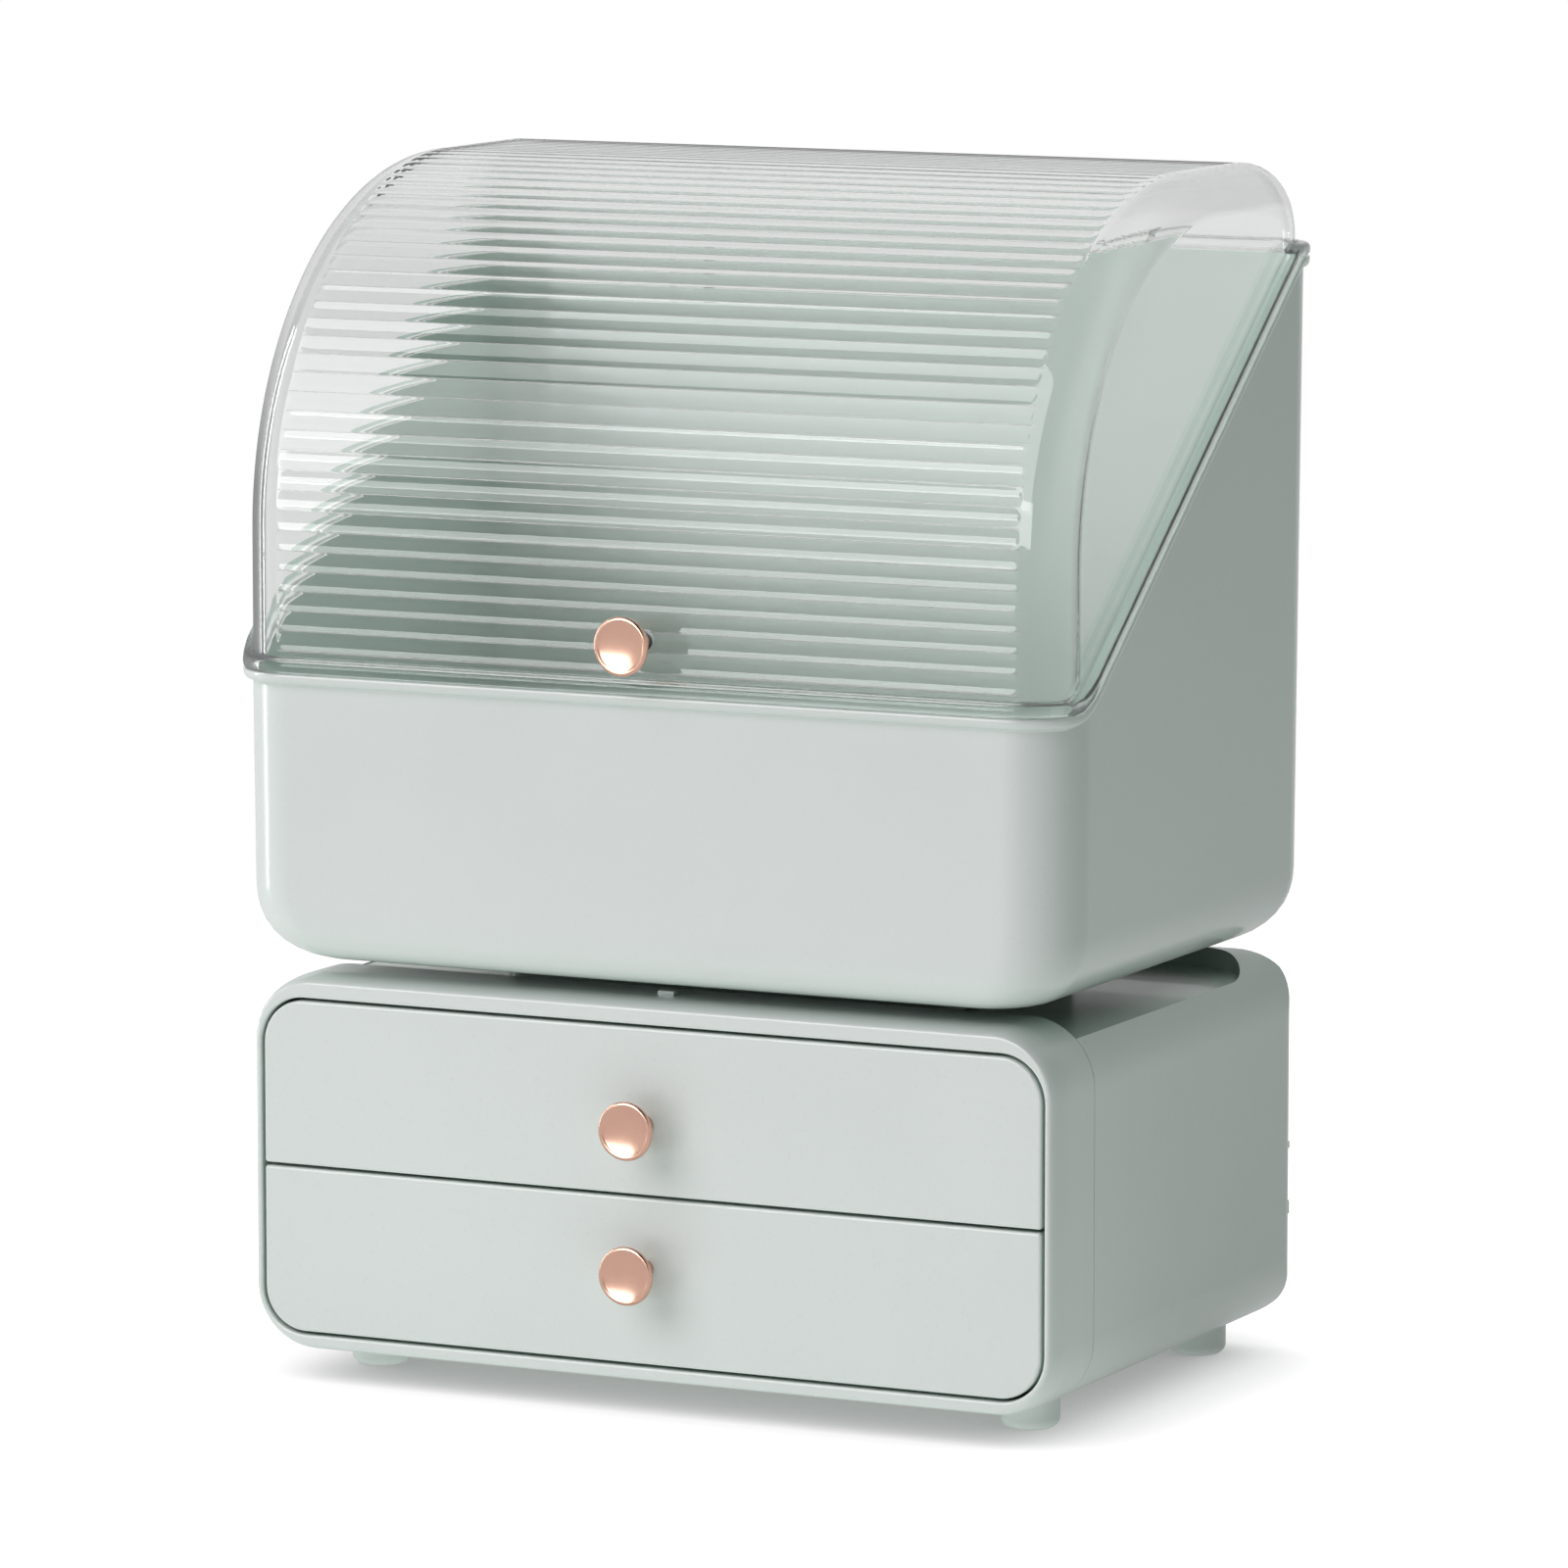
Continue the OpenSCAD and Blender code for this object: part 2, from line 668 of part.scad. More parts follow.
// Two ears for each hinge, on the bin's back just below the bead
module hinge_ears() {
    for (sx = [-1, 1], side = [-1, 1]) {
        x = sx * hinge_x + side * (knuckle_w / 2 + knuckle_gap + ear_w / 2);
        along_x(knuckle_dia, ear_w, x, hinge_y, hinge_z);
        block(x - ear_w / 2, x + ear_w / 2, bin_back_y - bin_wall / 2, hinge_y,
              hinge_z - knuckle_dia / 2, hinge_z + knuckle_dia / 2);
    }
}

module hinge_pin(x) {
    color(steel) along_x(pin_dia, hinge_w, x, hinge_y, hinge_z);
}

module hinge_pin_left() { hinge_pin(-hinge_x); }
module hinge_pin_right() { hinge_pin(hinge_x); }

// ---- lid ------------------------------------------------------------------------------

// Half of a round-edged section, for turning about the lid's width
module turned_section(r, half, edge_r) {
    translate([0, -half]) square([r - edge_r, 2 * half]);
    translate([0, edge_r - half]) square([r, 2 * (half - edge_r)]);
    intersection() {
        for (s = [-1, 1]) translate([r - edge_r, s * (half - edge_r)]) circle(edge_r);
        translate([r - edge_r, -half]) square([edge_r, 2 * half]);
    }
}

// A quarter turn from straight up to the front
module quarter(r, half, edge_r) {
    rotate([180, 0, 0]) rotate([0, 90, 0]) rotate_extrude(angle = 90, $fn = 128)
        turned_section(r, half, edge_r);
}

// The lid as a full block, with every outside face moved in by inset
module lid_block(inset) {
    half = lid_half - inset;
    edge_r = lid_side_r - inset;
    back_r = lid_back_r - inset;
    y1 = lid_back_y - lid_back_r;
    z1 = lid_top_z - lid_back_r;
    translate([0, curve_y, curve_z]) quarter(lid_r - inset, half, edge_r);
    translate([0, y1, z1]) mirror([0, 1, 0]) quarter(back_r, half, edge_r);
    front_prism(2 * half, lid_top_z - inset - lid_foot_z, edge_r, curve_y, y1,
                (lid_top_z - inset + lid_foot_z) / 2);
    plan_prism(2 * half, 2 * (curve_y - lid_face_y - inset), edge_r, lid_foot_z, curve_z, curve_y);
    plan_prism(2 * half, 2 * (lid_back_y - inset - y1), edge_r, lid_foot_z, z1, y1);
}

module lid() {
    color(clear_tint) difference() {
        union() {
            difference() {
                intersection() {
                    lid_block(0);
                    side_prism(above_rim(seat_gap), rim_w);
                }
                lid_flutes();
            }
            intersection() {
                plan_prism(rim_w, rim_d, rim_r, lip_z, lid_top_z);
                side_prism(rim_band(seat_gap, seat_gap + flange_h), rim_w + 2);
            }
            hinge_arms();
            along_y(knob_pad_dia, lid_wall, 0, lid_face_y, lid_knob_z);
        }
        lid_block(lid_wall);
        along_x(pin_dia + 2 * pin_play, 2 * (hinge_x + hinge_w), 0, hinge_y, hinge_z);
        along_y(screw_dia + 2 * screw_play, lid_wall + 2 * cut, 0, lid_face_y - cut, lid_knob_z);
    }
}

// Middle of a flute's axis, s along the lid's face from the lowest one: up, around, then back
function flute_place(s) =
    let (turn = (s - upright_run) / lid_r * 180 / PI)
    s < upright_run ? [lid_face_y - flute_off, flute_foot_z + s]
    : s < upright_run + curve_run
        ? [curve_y - (lid_r + flute_off) * cos(turn), curve_z + (lid_r + flute_off) * sin(turn)]
    : [curve_y + s - upright_run - curve_run, lid_top_z + flute_off];

// The cutter of the flutes across the front and the top: rods with round ends
module lid_flutes() {
    reach = lid_half - flute_margin - flute_w / 2;
    for (i = [0 : flute_count - 1]) {
        place = flute_place(i * flute_pitch);
        translate([0, place[0], place[1]]) rotate([0, 90, 0]) rotate_extrude() {
            translate([0, -reach]) square([flute_r, 2 * reach]);
            for (s = [-1, 1]) intersection() {
                translate([0, s * reach]) circle(flute_r);
                translate([0, s * (reach + flute_r / 2) - flute_r / 2]) square([flute_r, flute_r]);
            }
        }
    }
}

// The knuckles on the lid's flange; their square heels stop the open lid on the bin's back
module hinge_arms() {
    clear_y = bin_back_y + rim_out + seat_gap;
    heel = knuckle_dia / 2;
    for (sx = [-1, 1]) {
        x = sx * hinge_x;
        along_x(knuckle_dia, knuckle_w, x, hinge_y, hinge_z);
        block(x - knuckle_w / 2, x + knuckle_w / 2, hinge_y, hinge_y + heel, hinge_z - heel, hinge_z);
        block(x - knuckle_w / 2, x + knuckle_w / 2, clear_y, hinge_y + heel,
              hinge_z, land_z + seat_gap + flange_h);
        block(x - knuckle_w / 2, x + knuckle_w / 2, bin_back_y, clear_y + cut,
              land_z + seat_gap, land_z + seat_gap + flange_h);
    }
}

cabinet_shell();
front_bezel();
drawer_shelf();
foot_front_left();
foot_front_right();
foot_back_left();
foot_back_right();
upper_drawer_tray();
upper_drawer_front();
upper_drawer_knob();
upper_drawer_screw();
lower_drawer_tray();
lower_drawer_front();
lower_drawer_knob();
lower_drawer_screw();
bin();
hinge_pin_left();
hinge_pin_right();
lid();
lid_knob();
lid_knob_screw();
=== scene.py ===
import math

import bmesh
import bpy
from mathutils import Matrix, Vector


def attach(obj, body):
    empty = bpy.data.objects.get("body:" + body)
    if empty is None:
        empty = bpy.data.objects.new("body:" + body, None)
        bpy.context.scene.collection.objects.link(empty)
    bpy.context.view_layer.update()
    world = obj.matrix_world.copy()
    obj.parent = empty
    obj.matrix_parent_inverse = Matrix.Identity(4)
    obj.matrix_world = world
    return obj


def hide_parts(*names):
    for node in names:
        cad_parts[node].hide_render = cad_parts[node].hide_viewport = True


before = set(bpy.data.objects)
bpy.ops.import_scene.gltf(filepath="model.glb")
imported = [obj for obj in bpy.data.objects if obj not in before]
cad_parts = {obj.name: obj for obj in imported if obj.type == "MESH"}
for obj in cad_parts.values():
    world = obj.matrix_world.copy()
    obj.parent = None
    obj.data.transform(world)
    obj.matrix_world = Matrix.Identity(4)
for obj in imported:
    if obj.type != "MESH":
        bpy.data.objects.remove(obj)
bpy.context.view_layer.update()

MM = 0.001

# ---- Cabinet shell ----------------------------------------------------------------------
# The case that holds both drawers, one glossy sage moulding with a shallow recess in its
# top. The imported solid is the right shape, so it only gets its plastic: a faint uneven
# tone, tiny flecks of pigment and the slight orange peel of a polished mould.

SAGE = (0.52, 0.63, 0.575, 1)
SAGE_ROUGHNESS = 0.24
CLOUD_SCALE, GRAIN_SCALE, CLOUD_ROUGHNESS = 17.0, 820.0, 0.12
PEEL_SIZE, PEEL_DEPTH, PEEL_STRENGTH = 380.0, 0.00004, 0.5
COAT, COAT_ROUGHNESS = 0.25, 0.05


def feed(tree, target, value):
    """Links a socket to an input, or sets the input to a value."""
    if isinstance(value, bpy.types.NodeSocket):
        tree.links.new(value, target)
    else:
        target.default_value = value


def add_node(tree, kind, props=None, **inputs):
    """Adds a shader node. The names of inputs have _ for a space."""
    made = tree.nodes.new(kind)
    for name, value in (props or {}).items():
        setattr(made, name, value)
    for name, value in inputs.items():
        feed(tree, made.inputs[name.replace("_", " ")], value)
    return made


def calc(tree, operation, *values, **props):
    """The result of a math node. Each value is a number or a socket."""
    made = add_node(tree, "ShaderNodeMath", {"operation": operation, **props})
    for target, value in zip(made.inputs, values):
        feed(tree, target, value)
    return made.outputs[0]


def new_pattern(name, numbers):
    """A node group from a colour and named numbers to a colour, a roughness and a height."""
    tree = bpy.data.node_groups.new(name, "ShaderNodeTree")
    tree.interface.new_socket("Color", in_out="INPUT", socket_type="NodeSocketColor")
    for label in numbers:
        tree.interface.new_socket(label, in_out="INPUT", socket_type="NodeSocketFloat")
    tree.interface.new_socket("Color", in_out="OUTPUT", socket_type="NodeSocketColor")
    for label in ("Roughness", "Height"):
        tree.interface.new_socket(label, in_out="OUTPUT", socket_type="NodeSocketFloat")
    return tree, tree.nodes.new("NodeGroupInput"), tree.nodes.new("NodeGroupOutput")


def moulded_surface():
    """Uneven tone, pigment flecks and orange peel of an injection moulding."""
    tree, given, put = new_pattern("Moulded surface", ("Tone", "Fleck", "Roughness", "Peel size"))
    place = add_node(tree, "ShaderNodeTexCoord").outputs["Object"]
    cloud = add_node(tree, "ShaderNodeTexNoise", Vector=place, Scale=CLOUD_SCALE, Detail=3.0).outputs["Fac"]
    grain = add_node(tree, "ShaderNodeTexNoise", Vector=place, Scale=GRAIN_SCALE, Detail=1.0).outputs["Fac"]
    speck = add_node(tree, "ShaderNodeMapRange", Value=grain, From_Min=0.62, From_Max=0.74).outputs[0]
    centred = calc(tree, "SUBTRACT", cloud, 0.5)
    tone = calc(tree, "MULTIPLY_ADD", centred, given.outputs["Tone"], 1.0)
    fleck = calc(tree, "MULTIPLY", speck, given.outputs["Fleck"])
    value = calc(tree, "SUBTRACT", tone, fleck)
    shade = add_node(tree, "ShaderNodeHueSaturation", Color=given.outputs["Color"], Value=value)
    rough = calc(tree, "MULTIPLY_ADD", centred, CLOUD_ROUGHNESS, given.outputs["Roughness"])
    peel = add_node(tree, "ShaderNodeTexNoise", Vector=place, Scale=given.outputs["Peel size"], Detail=2.0)
    feed(tree, put.inputs["Color"], shade.outputs["Color"])
    feed(tree, put.inputs["Roughness"], rough)
    feed(tree, put.inputs["Height"], peel.outputs["Fac"])
    return tree


MOULDED = moulded_surface()


def patterned(name, group, bump_strength, bump_depth, **inputs):
    """A material whose main shader takes colour, roughness and bump from a pattern."""
    made = bpy.data.materials.new(name)
    made.use_nodes = True
    tree = made.node_tree
    shader = tree.nodes["Principled BSDF"]
    pattern = add_node(tree, "ShaderNodeGroup", {"node_tree": group}, **inputs)
    bump = add_node(tree, "ShaderNodeBump", Height=pattern.outputs["Height"], Strength=bump_strength,
                    Distance=bump_depth)
    feed(tree, shader.inputs["Base Color"], pattern.outputs["Color"])
    feed(tree, shader.inputs["Roughness"], pattern.outputs["Roughness"])
    feed(tree, shader.inputs["Normal"], bump.outputs["Normal"])
    return made, shader, pattern


def plastic(name, color, tone, fleck, roughness):
    """A coloured moulding with a thin glossy skin."""
    made, shader, _ = patterned(name, MOULDED, PEEL_STRENGTH, PEEL_DEPTH, Color=color, Tone=tone,
                                Fleck=fleck, Roughness=roughness, Peel_size=PEEL_SIZE)
    shader.inputs["Coat Weight"].default_value = COAT
    shader.inputs["Coat Roughness"].default_value = COAT_ROUGHNESS
    return made


def dress(names, material):
    """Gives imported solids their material."""
    for name in names:
        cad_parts[name].data.materials.clear()
        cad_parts[name].data.materials.append(material)


sage_plastic = plastic("Sage plastic", SAGE, tone=0.05, fleck=0.03, roughness=SAGE_ROUGHNESS)
dress(["cabinet_shell"], sage_plastic)

# ---- Bezel ------------------------------------------------------------------------------
# The frame pushed into the front of the case, moulded in the same sage plastic. Its outer
# edge rolls inwards over 12 mm, a fine groove shows where it meets the case, and a small
# nub on its top locates the bin.

FACE_Y = -87.05
SEAM_Y = -60.05
CASE_W, CASE_H, CASE_R, CASE_MID_Z = 262, 113.2, 20, 65.4
OPENING_W, OPENING_H, OPENING_R, OPENING_MID_Z = 254.6, 101.1, 14, 64.65
CORNER_STEPS = 14
MERGE_GAP = 0.002


def round_outline(w, h, r_high, r_low=None):
    """Points (u, v) of a rectangle with round corners, as many whatever its size."""
    r_low = r_high if r_low is None else r_low
    points = []
    for quarter, (su, sv) in enumerate([(1, 1), (-1, 1), (-1, -1), (1, -1)]):
        r = r_high if sv > 0 else r_low
        for step in range(CORNER_STEPS + 1):
            a = math.radians(90 * (quarter + step / CORNER_STEPS))
            points.append((su * (w / 2 - r) + r * math.cos(a), sv * (h / 2 - r) + r * math.sin(a)))
    return points


def upright_ring(w, h, r_high, y, mid_z, r_low=None):
    """A round-cornered rectangle seen from the front, at depth y."""
    return [Vector((u, y, mid_z + v)) for u, v in round_outline(w, h, r_high, r_low)]


def unique(items):
    """The items as a list, each once, in the order in which they come."""
    return list(dict.fromkeys(items))


def only_verts(geometry):
    """The vertices among what an operator made."""
    return [g for g in geometry if isinstance(g, bmesh.types.BMVert)]


def sweep(bm, rings, closed=False):
    """Draws the first ring and extrudes its edge from ring to ring."""
    spot = bm.verts.layers.int.get("spot") or bm.verts.layers.int.new("spot")
    loop = bmesh.ops.create_circle(bm, segments=len(rings[0]), radius=1)["verts"]
    for i, v in enumerate(loop):
        v[spot] = i
        v.co = rings[0][i]
    edges = unique(e for v in loop for e in v.link_edges)
    if not closed:
        bmesh.ops.edgeloop_fill(bm, edges=edges)
    for ring in rings[1:] + (rings[:1] if closed else []):
        made = bmesh.ops.extrude_edge_only(bm, edges=edges)["geom"]
        loop = only_verts(made)
        fresh = set(loop)
        for v in loop:
            v.co = ring[v[spot]]
        edges = unique(e for v in loop for e in v.link_edges if e.other_vert(v) in fresh)
    if not closed:
        bmesh.ops.edgeloop_fill(bm, edges=edges)


def piece(name, bm, material, weighted=True, crease=38):
    """Turns a bmesh in millimetres into a finished object in metres."""
    bmesh.ops.remove_doubles(bm, verts=bm.verts, dist=MERGE_GAP)
    bmesh.ops.recalc_face_normals(bm, faces=bm.faces)
    bmesh.ops.scale(bm, vec=(MM, MM, MM), verts=bm.verts)
    for face in bm.faces:
        face.smooth = True
    for edge in bm.edges:
        edge.smooth = edge.calc_face_angle(0) < math.radians(crease)
    mesh = bpy.data.meshes.new(name)
    bm.to_mesh(mesh)
    bm.free()
    mesh.materials.append(material)
    made = bpy.data.objects.new(name, mesh)
    bpy.context.scene.collection.objects.link(made)
    if weighted:
        flat = made.modifiers.new("Weighted normals", "WEIGHTED_NORMAL")
        flat.keep_sharp = True
    return made


def quarter_round(steps):
    """(sine, cosine) pairs from 0 to 90 degrees."""
    return [(math.sin(math.radians(90 * i / steps)), math.cos(math.radians(90 * i / steps)))
            for i in range(steps + 1)]


ROLL_IN, ROLL_BACK = 2.6, 12
OPENING_EDGE_R = 0.8
SEAM_GROOVE = 0.35
TONGUE_BACK_Y, TONGUE_WALL = SEAM_Y + 5, 1

bezel_rings = [upright_ring(OPENING_W, OPENING_H, OPENING_R, TONGUE_BACK_Y, OPENING_MID_Z)]
for s, c in quarter_round(4):
    out = OPENING_EDGE_R * (1 - c)
    bezel_rings.append(upright_ring(OPENING_W + 2 * out, OPENING_H + 2 * out, OPENING_R + out,
                                    FACE_Y + OPENING_EDGE_R * (1 - s), OPENING_MID_Z))
for s, c in quarter_round(9):
    inset = ROLL_IN * (1 - s)
    bezel_rings.append(upright_ring(CASE_W - 2 * inset, CASE_H - 2 * inset, CASE_R - inset,
                                    FACE_Y + ROLL_BACK * (1 - c), CASE_MID_Z))
for inset, y in ((0, SEAM_Y - SEAM_GROOVE), (SEAM_GROOVE, SEAM_Y)):
    bezel_rings.append(upright_ring(CASE_W - 2 * inset, CASE_H - 2 * inset, CASE_R - inset, y, CASE_MID_Z))
for y in (SEAM_Y, TONGUE_BACK_Y):
    bezel_rings.append(upright_ring(OPENING_W + 2 * TONGUE_WALL, OPENING_H + 2 * TONGUE_WALL,
                                    OPENING_R + TONGUE_WALL, y, OPENING_MID_Z))

bm = bmesh.new()
sweep(bm, bezel_rings, closed=True)
front_bezel = piece("front_bezel_moulding", bm, sage_plastic)
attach(front_bezel, "cabinet")
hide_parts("front_bezel")

NUB_SIZE, NUB_SPOT, NUB_ROUND = (5.4, 3, 1.8), (0, FACE_Y + 15, 122.5), 0.4

bm = bmesh.new()
bmesh.ops.create_cube(bm, size=1)
bmesh.ops.scale(bm, vec=NUB_SIZE, verts=bm.verts)
bmesh.ops.translate(bm, vec=NUB_SPOT, verts=bm.verts)
bmesh.ops.bevel(bm, geom=bm.edges, offset=NUB_ROUND, segments=3, affect="EDGES", profile=0.5, material=-1)
nub = piece("bezel_nub", bm, sage_plastic)
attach(nub, "cabinet")
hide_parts("front_bezel")

# ---- Shelf and feet ---------------------------------------------------------------------
# A plain shelf slides into the case between the drawers. Four round feet plug into its
# floor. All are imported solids; the shelf is a slightly duller moulding than the outside.

INNER_SAGE, FOOT_SAGE = (0.50, 0.61, 0.56, 1), (0.54, 0.64, 0.59, 1)

inner_plastic = plastic("Inner sage plastic", INNER_SAGE, tone=0.06, fleck=0.03, roughness=0.34)
foot_plastic = plastic("Foot plastic", FOOT_SAGE, tone=0.04, fleck=0.02, roughness=0.3)
dress(["drawer_shelf"], inner_plastic)
dress(["foot_front_left", "foot_front_right", "foot_back_left", "foot_back_right"], foot_plastic)

# ---- Drawers ----------------------------------------------------------------------------
# Each drawer is an open tray behind a cap-shaped front. The fronts fill the bezel's opening
# with a fine even gap; their outer corners follow it and their edges are softly rounded.

FRONT_W, FRONT_H, FRONT_R = 252.8, 49.2, 13.1
FRONT_EDGE_R = 0.9
FRONT_BACK_Y, FRONT_INNER_Y = FACE_Y + 8, FACE_Y + 2.5
FRONT_WALL = 1.5
UPPER_MID_Z, LOWER_MID_Z, SQUARE_R = 89.7, 39.6, 1

dress(["upper_drawer_tray", "lower_drawer_tray"], inner_plastic)


def drawer_front(mid_z, r_high, r_low):
    """The cap: its hollow, its back rim, its sides, the round edge and the face."""

    def ring(inset, y):
        return upright_ring(FRONT_W - 2 * inset, FRONT_H - 2 * inset, max(r_high - inset, 0.1), y, mid_z,
                            max(r_low - inset, 0.1))

    rings = [ring(FRONT_WALL, FRONT_INNER_Y), ring(FRONT_WALL, FRONT_BACK_Y), ring(0, FRONT_BACK_Y)]
    rings += [ring(FRONT_EDGE_R * (1 - c), FACE_Y + FRONT_EDGE_R * (1 - s)) for s, c in quarter_round(5)]
    bm = bmesh.new()
    sweep(bm, rings)
    return bm


for body, mid_z, r_high, r_low in (("upper_drawer", UPPER_MID_Z, FRONT_R, SQUARE_R),
                                   ("lower_drawer", LOWER_MID_Z, SQUARE_R, FRONT_R)):
    front = piece(body + "_cap", drawer_front(mid_z, r_high, r_low), sage_plastic)
    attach(front, body)
    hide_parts(body + "_front")

# ---- Knobs and screws -------------------------------------------------------------------
# Three turned knobs plated in satin rose gold: a stem that swells into a disc with a
# rolled rim around a shallow dish. A zinc-plated screw holds each one from behind.

ROSE_GOLD, ZINC = (0.68, 0.42, 0.32, 1), (0.62, 0.63, 0.64, 1)
POLISH_SCALE, HAIR_SCALE, HAIR_STRETCH = 240.0, 700.0, (1, 1, 14)
MARK_DEPTH, MARK_STRENGTH = 0.00001, 0.1
KNOB_R, STEM_R, STEM_LEN, KNOB_HEAD = 8.7, 2.75, 9.0, 4.4
ROLL_R, DISH_START = 0.9, 38
DISH_DEPTH, DISH_STEPS = 0.95, 12
NECK_R, NECK_BEND_R = STEM_R - 0.45, 4.2


def metal_marks():
    """Hairlines and small changes of polish on plated metal."""
    tree, given, put = new_pattern("Metal marks", ("Roughness", "Hairline"))
    place = add_node(tree, "ShaderNodeTexCoord").outputs["Object"]
    cloud = add_node(tree, "ShaderNodeTexNoise", Vector=place, Scale=POLISH_SCALE, Detail=2.0).outputs["Fac"]
    stretched = add_node(tree, "ShaderNodeMapping", Vector=place, Scale=HAIR_STRETCH).outputs["Vector"]
    hair = add_node(tree, "ShaderNodeTexNoise", Vector=stretched, Scale=HAIR_SCALE, Detail=1.0).outputs["Fac"]
    value = calc(tree, "MULTIPLY_ADD", cloud, 0.08, 0.96)
    shade = add_node(tree, "ShaderNodeHueSaturation", Color=given.outputs["Color"], Value=value)
    rough = calc(tree, "MULTIPLY_ADD", hair, given.outputs["Hairline"], given.outputs["Roughness"])
    feed(tree, put.inputs["Color"], shade.outputs["Color"])
    feed(tree, put.inputs["Roughness"], rough)
    feed(tree, put.inputs["Height"], hair)
    return tree


MARKS = metal_marks()


def plated(name, color, roughness, hairline):
    """Plated metal over the pattern of marks."""
    made, shader, _ = patterned(name, MARKS, MARK_STRENGTH, MARK_DEPTH, Color=color,
                                Roughness=roughness, Hairline=hairline)
    shader.inputs["Metallic"].default_value = 1
    return made


rose_gold = plated("Rose gold plating", ROSE_GOLD, roughness=0.2, hairline=0.05)
zinc = plated("Zinc plating", ZINC, roughness=0.22, hairline=0.2)
dress(["upper_drawer_screw", "lower_drawer_screw", "lid_knob_screw"], zinc)


def arc(cx, cy, r, start, end, steps):
    """Points on an arc, with its angles in degrees."""
    angles = [math.radians(start + (end - start) * i / steps) for i in range(steps + 1)]
    return [(cx + r * math.cos(a), cy + r * math.sin(a)) for a in angles]


def knob_profile():
    """(radius, reach) from the stem's foot over the rolled rim to the middle of the dish."""
    rim_x = KNOB_R - ROLL_R
    rim_y = STEM_LEN + KNOB_HEAD - ROLL_R
    inner_x = rim_x - ROLL_R * math.sin(math.radians(DISH_START))
    inner_y = rim_y + ROLL_R * math.cos(math.radians(DISH_START))
    points = [(0, 0), (STEM_R, 0), (STEM_R, 0.4), (STEM_R - 0.35, 1.2), (NECK_R, 3.5)]
    points += arc(NECK_R + NECK_BEND_R, 5.4, NECK_BEND_R, 180, 108, 8)
    points += [(5.2, 10.3), (6.6, 11.0)]
    points += arc(rim_x, rim_y, ROLL_R, -55, 90 + DISH_START, 16)
    dish_r = (inner_x ** 2 + DISH_DEPTH ** 2) / (2 * DISH_DEPTH)
    for i in range(1, DISH_STEPS + 1):
        x = inner_x * (1 - i / DISH_STEPS)
        points.append((x, inner_y - DISH_DEPTH + dish_r - math.sqrt(dish_r ** 2 - x ** 2)))
    return points


def knob(name, y, z):
    """Spins the profile about the knob's axis, which points forwards."""
    bm = bmesh.new()
    verts = [bm.verts.new((x, y - reach, z)) for x, reach in knob_profile()]
    edges = [bm.edges.new(pair) for pair in zip(verts, verts[1:])]
    bmesh.ops.spin(bm, geom=verts + edges, cent=(0, y, z), axis=(0, 1, 0), angle=math.tau, steps=56,
                   use_merge=True)
    return piece(name, bm, rose_gold, weighted=False)


LID_FACE_Y = -89.05
UPPER_KNOB_Z, LOWER_KNOB_Z, LID_KNOB_Z = 85.95, 43.35, 227.4
for body, replaced, y, z in (("upper_drawer", "upper_drawer_knob", FACE_Y, UPPER_KNOB_Z),
                             ("lower_drawer", "lower_drawer_knob", FACE_Y, LOWER_KNOB_Z),
                             ("lid", "lid_knob", LID_FACE_Y, LID_KNOB_Z)):
    turned = knob(replaced + "_turned", y, z)
    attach(turned, body)
    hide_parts(replaced)

# ---- Bin --------------------------------------------------------------------------------
# The open bin that stands in the recess: a drafted tub in glossy sage, low in front and
# high at the back. A flared lip runs around its sloping rim, a ring under its floor nests
# in the recess, and four ears behind the rim carry the lid's hinge pins.

MID_Y = 0.95
BIN_Z, BIN_DEPTH = 126.2, 184.6
BIN_BASE_HALF, BIN_DRAFT = 134, 1.8
BIN_SIDE_R, BIN_FRONT_R, BIN_CORNER_R, TUB_STEPS = 22, 14, 19.5, 9
BIN_WALL = 2.5
LIP_Z, LAND_Z = 212.1, 331.4
KNEE_Y, LAND_Y = -80.75, 73.45
KNEE_R, LAND_R = 12, 4
SLOPE = math.atan2(LAND_Z - LIP_Z, LAND_Y - KNEE_Y)
RIM_OUT, LIP_OUT, LIP_TALL = 2.9, 2.75, 3.2
HINGE_X, HINGE_Y, HINGE_Z = 75, 98.45, 324.4


def rim_height(y, d):
    """Height at depth y of the rim's line, moved up at right angles by d."""
    knee_mid = KNEE_Y - KNEE_R * math.tan(SLOPE / 2)
    land_mid = LAND_Y + LAND_R * math.tan(SLOPE / 2)
    knee_end = knee_mid + (KNEE_R - d) * math.sin(SLOPE)
    land_start = land_mid - (LAND_R + d) * math.sin(SLOPE)
    if y <= knee_mid:
        return LIP_Z + d
    if y < knee_end:
        return LIP_Z + KNEE_R - math.sqrt((KNEE_R - d) ** 2 - (y - knee_mid) ** 2)
    if y < land_start:
        return LIP_Z + (y - KNEE_Y) * math.tan(SLOPE) + d / math.cos(SLOPE)
    if y < land_mid:
        return LAND_Z - LAND_R + math.sqrt((LAND_R + d) ** 2 - (land_mid - y) ** 2)
    return LAND_Z + d


def tub_half(z):
    """Half the bin's width at height z."""
    return BIN_BASE_HALF + BIN_DRAFT * (z - BIN_Z) / (LAND_Z - BIN_Z)


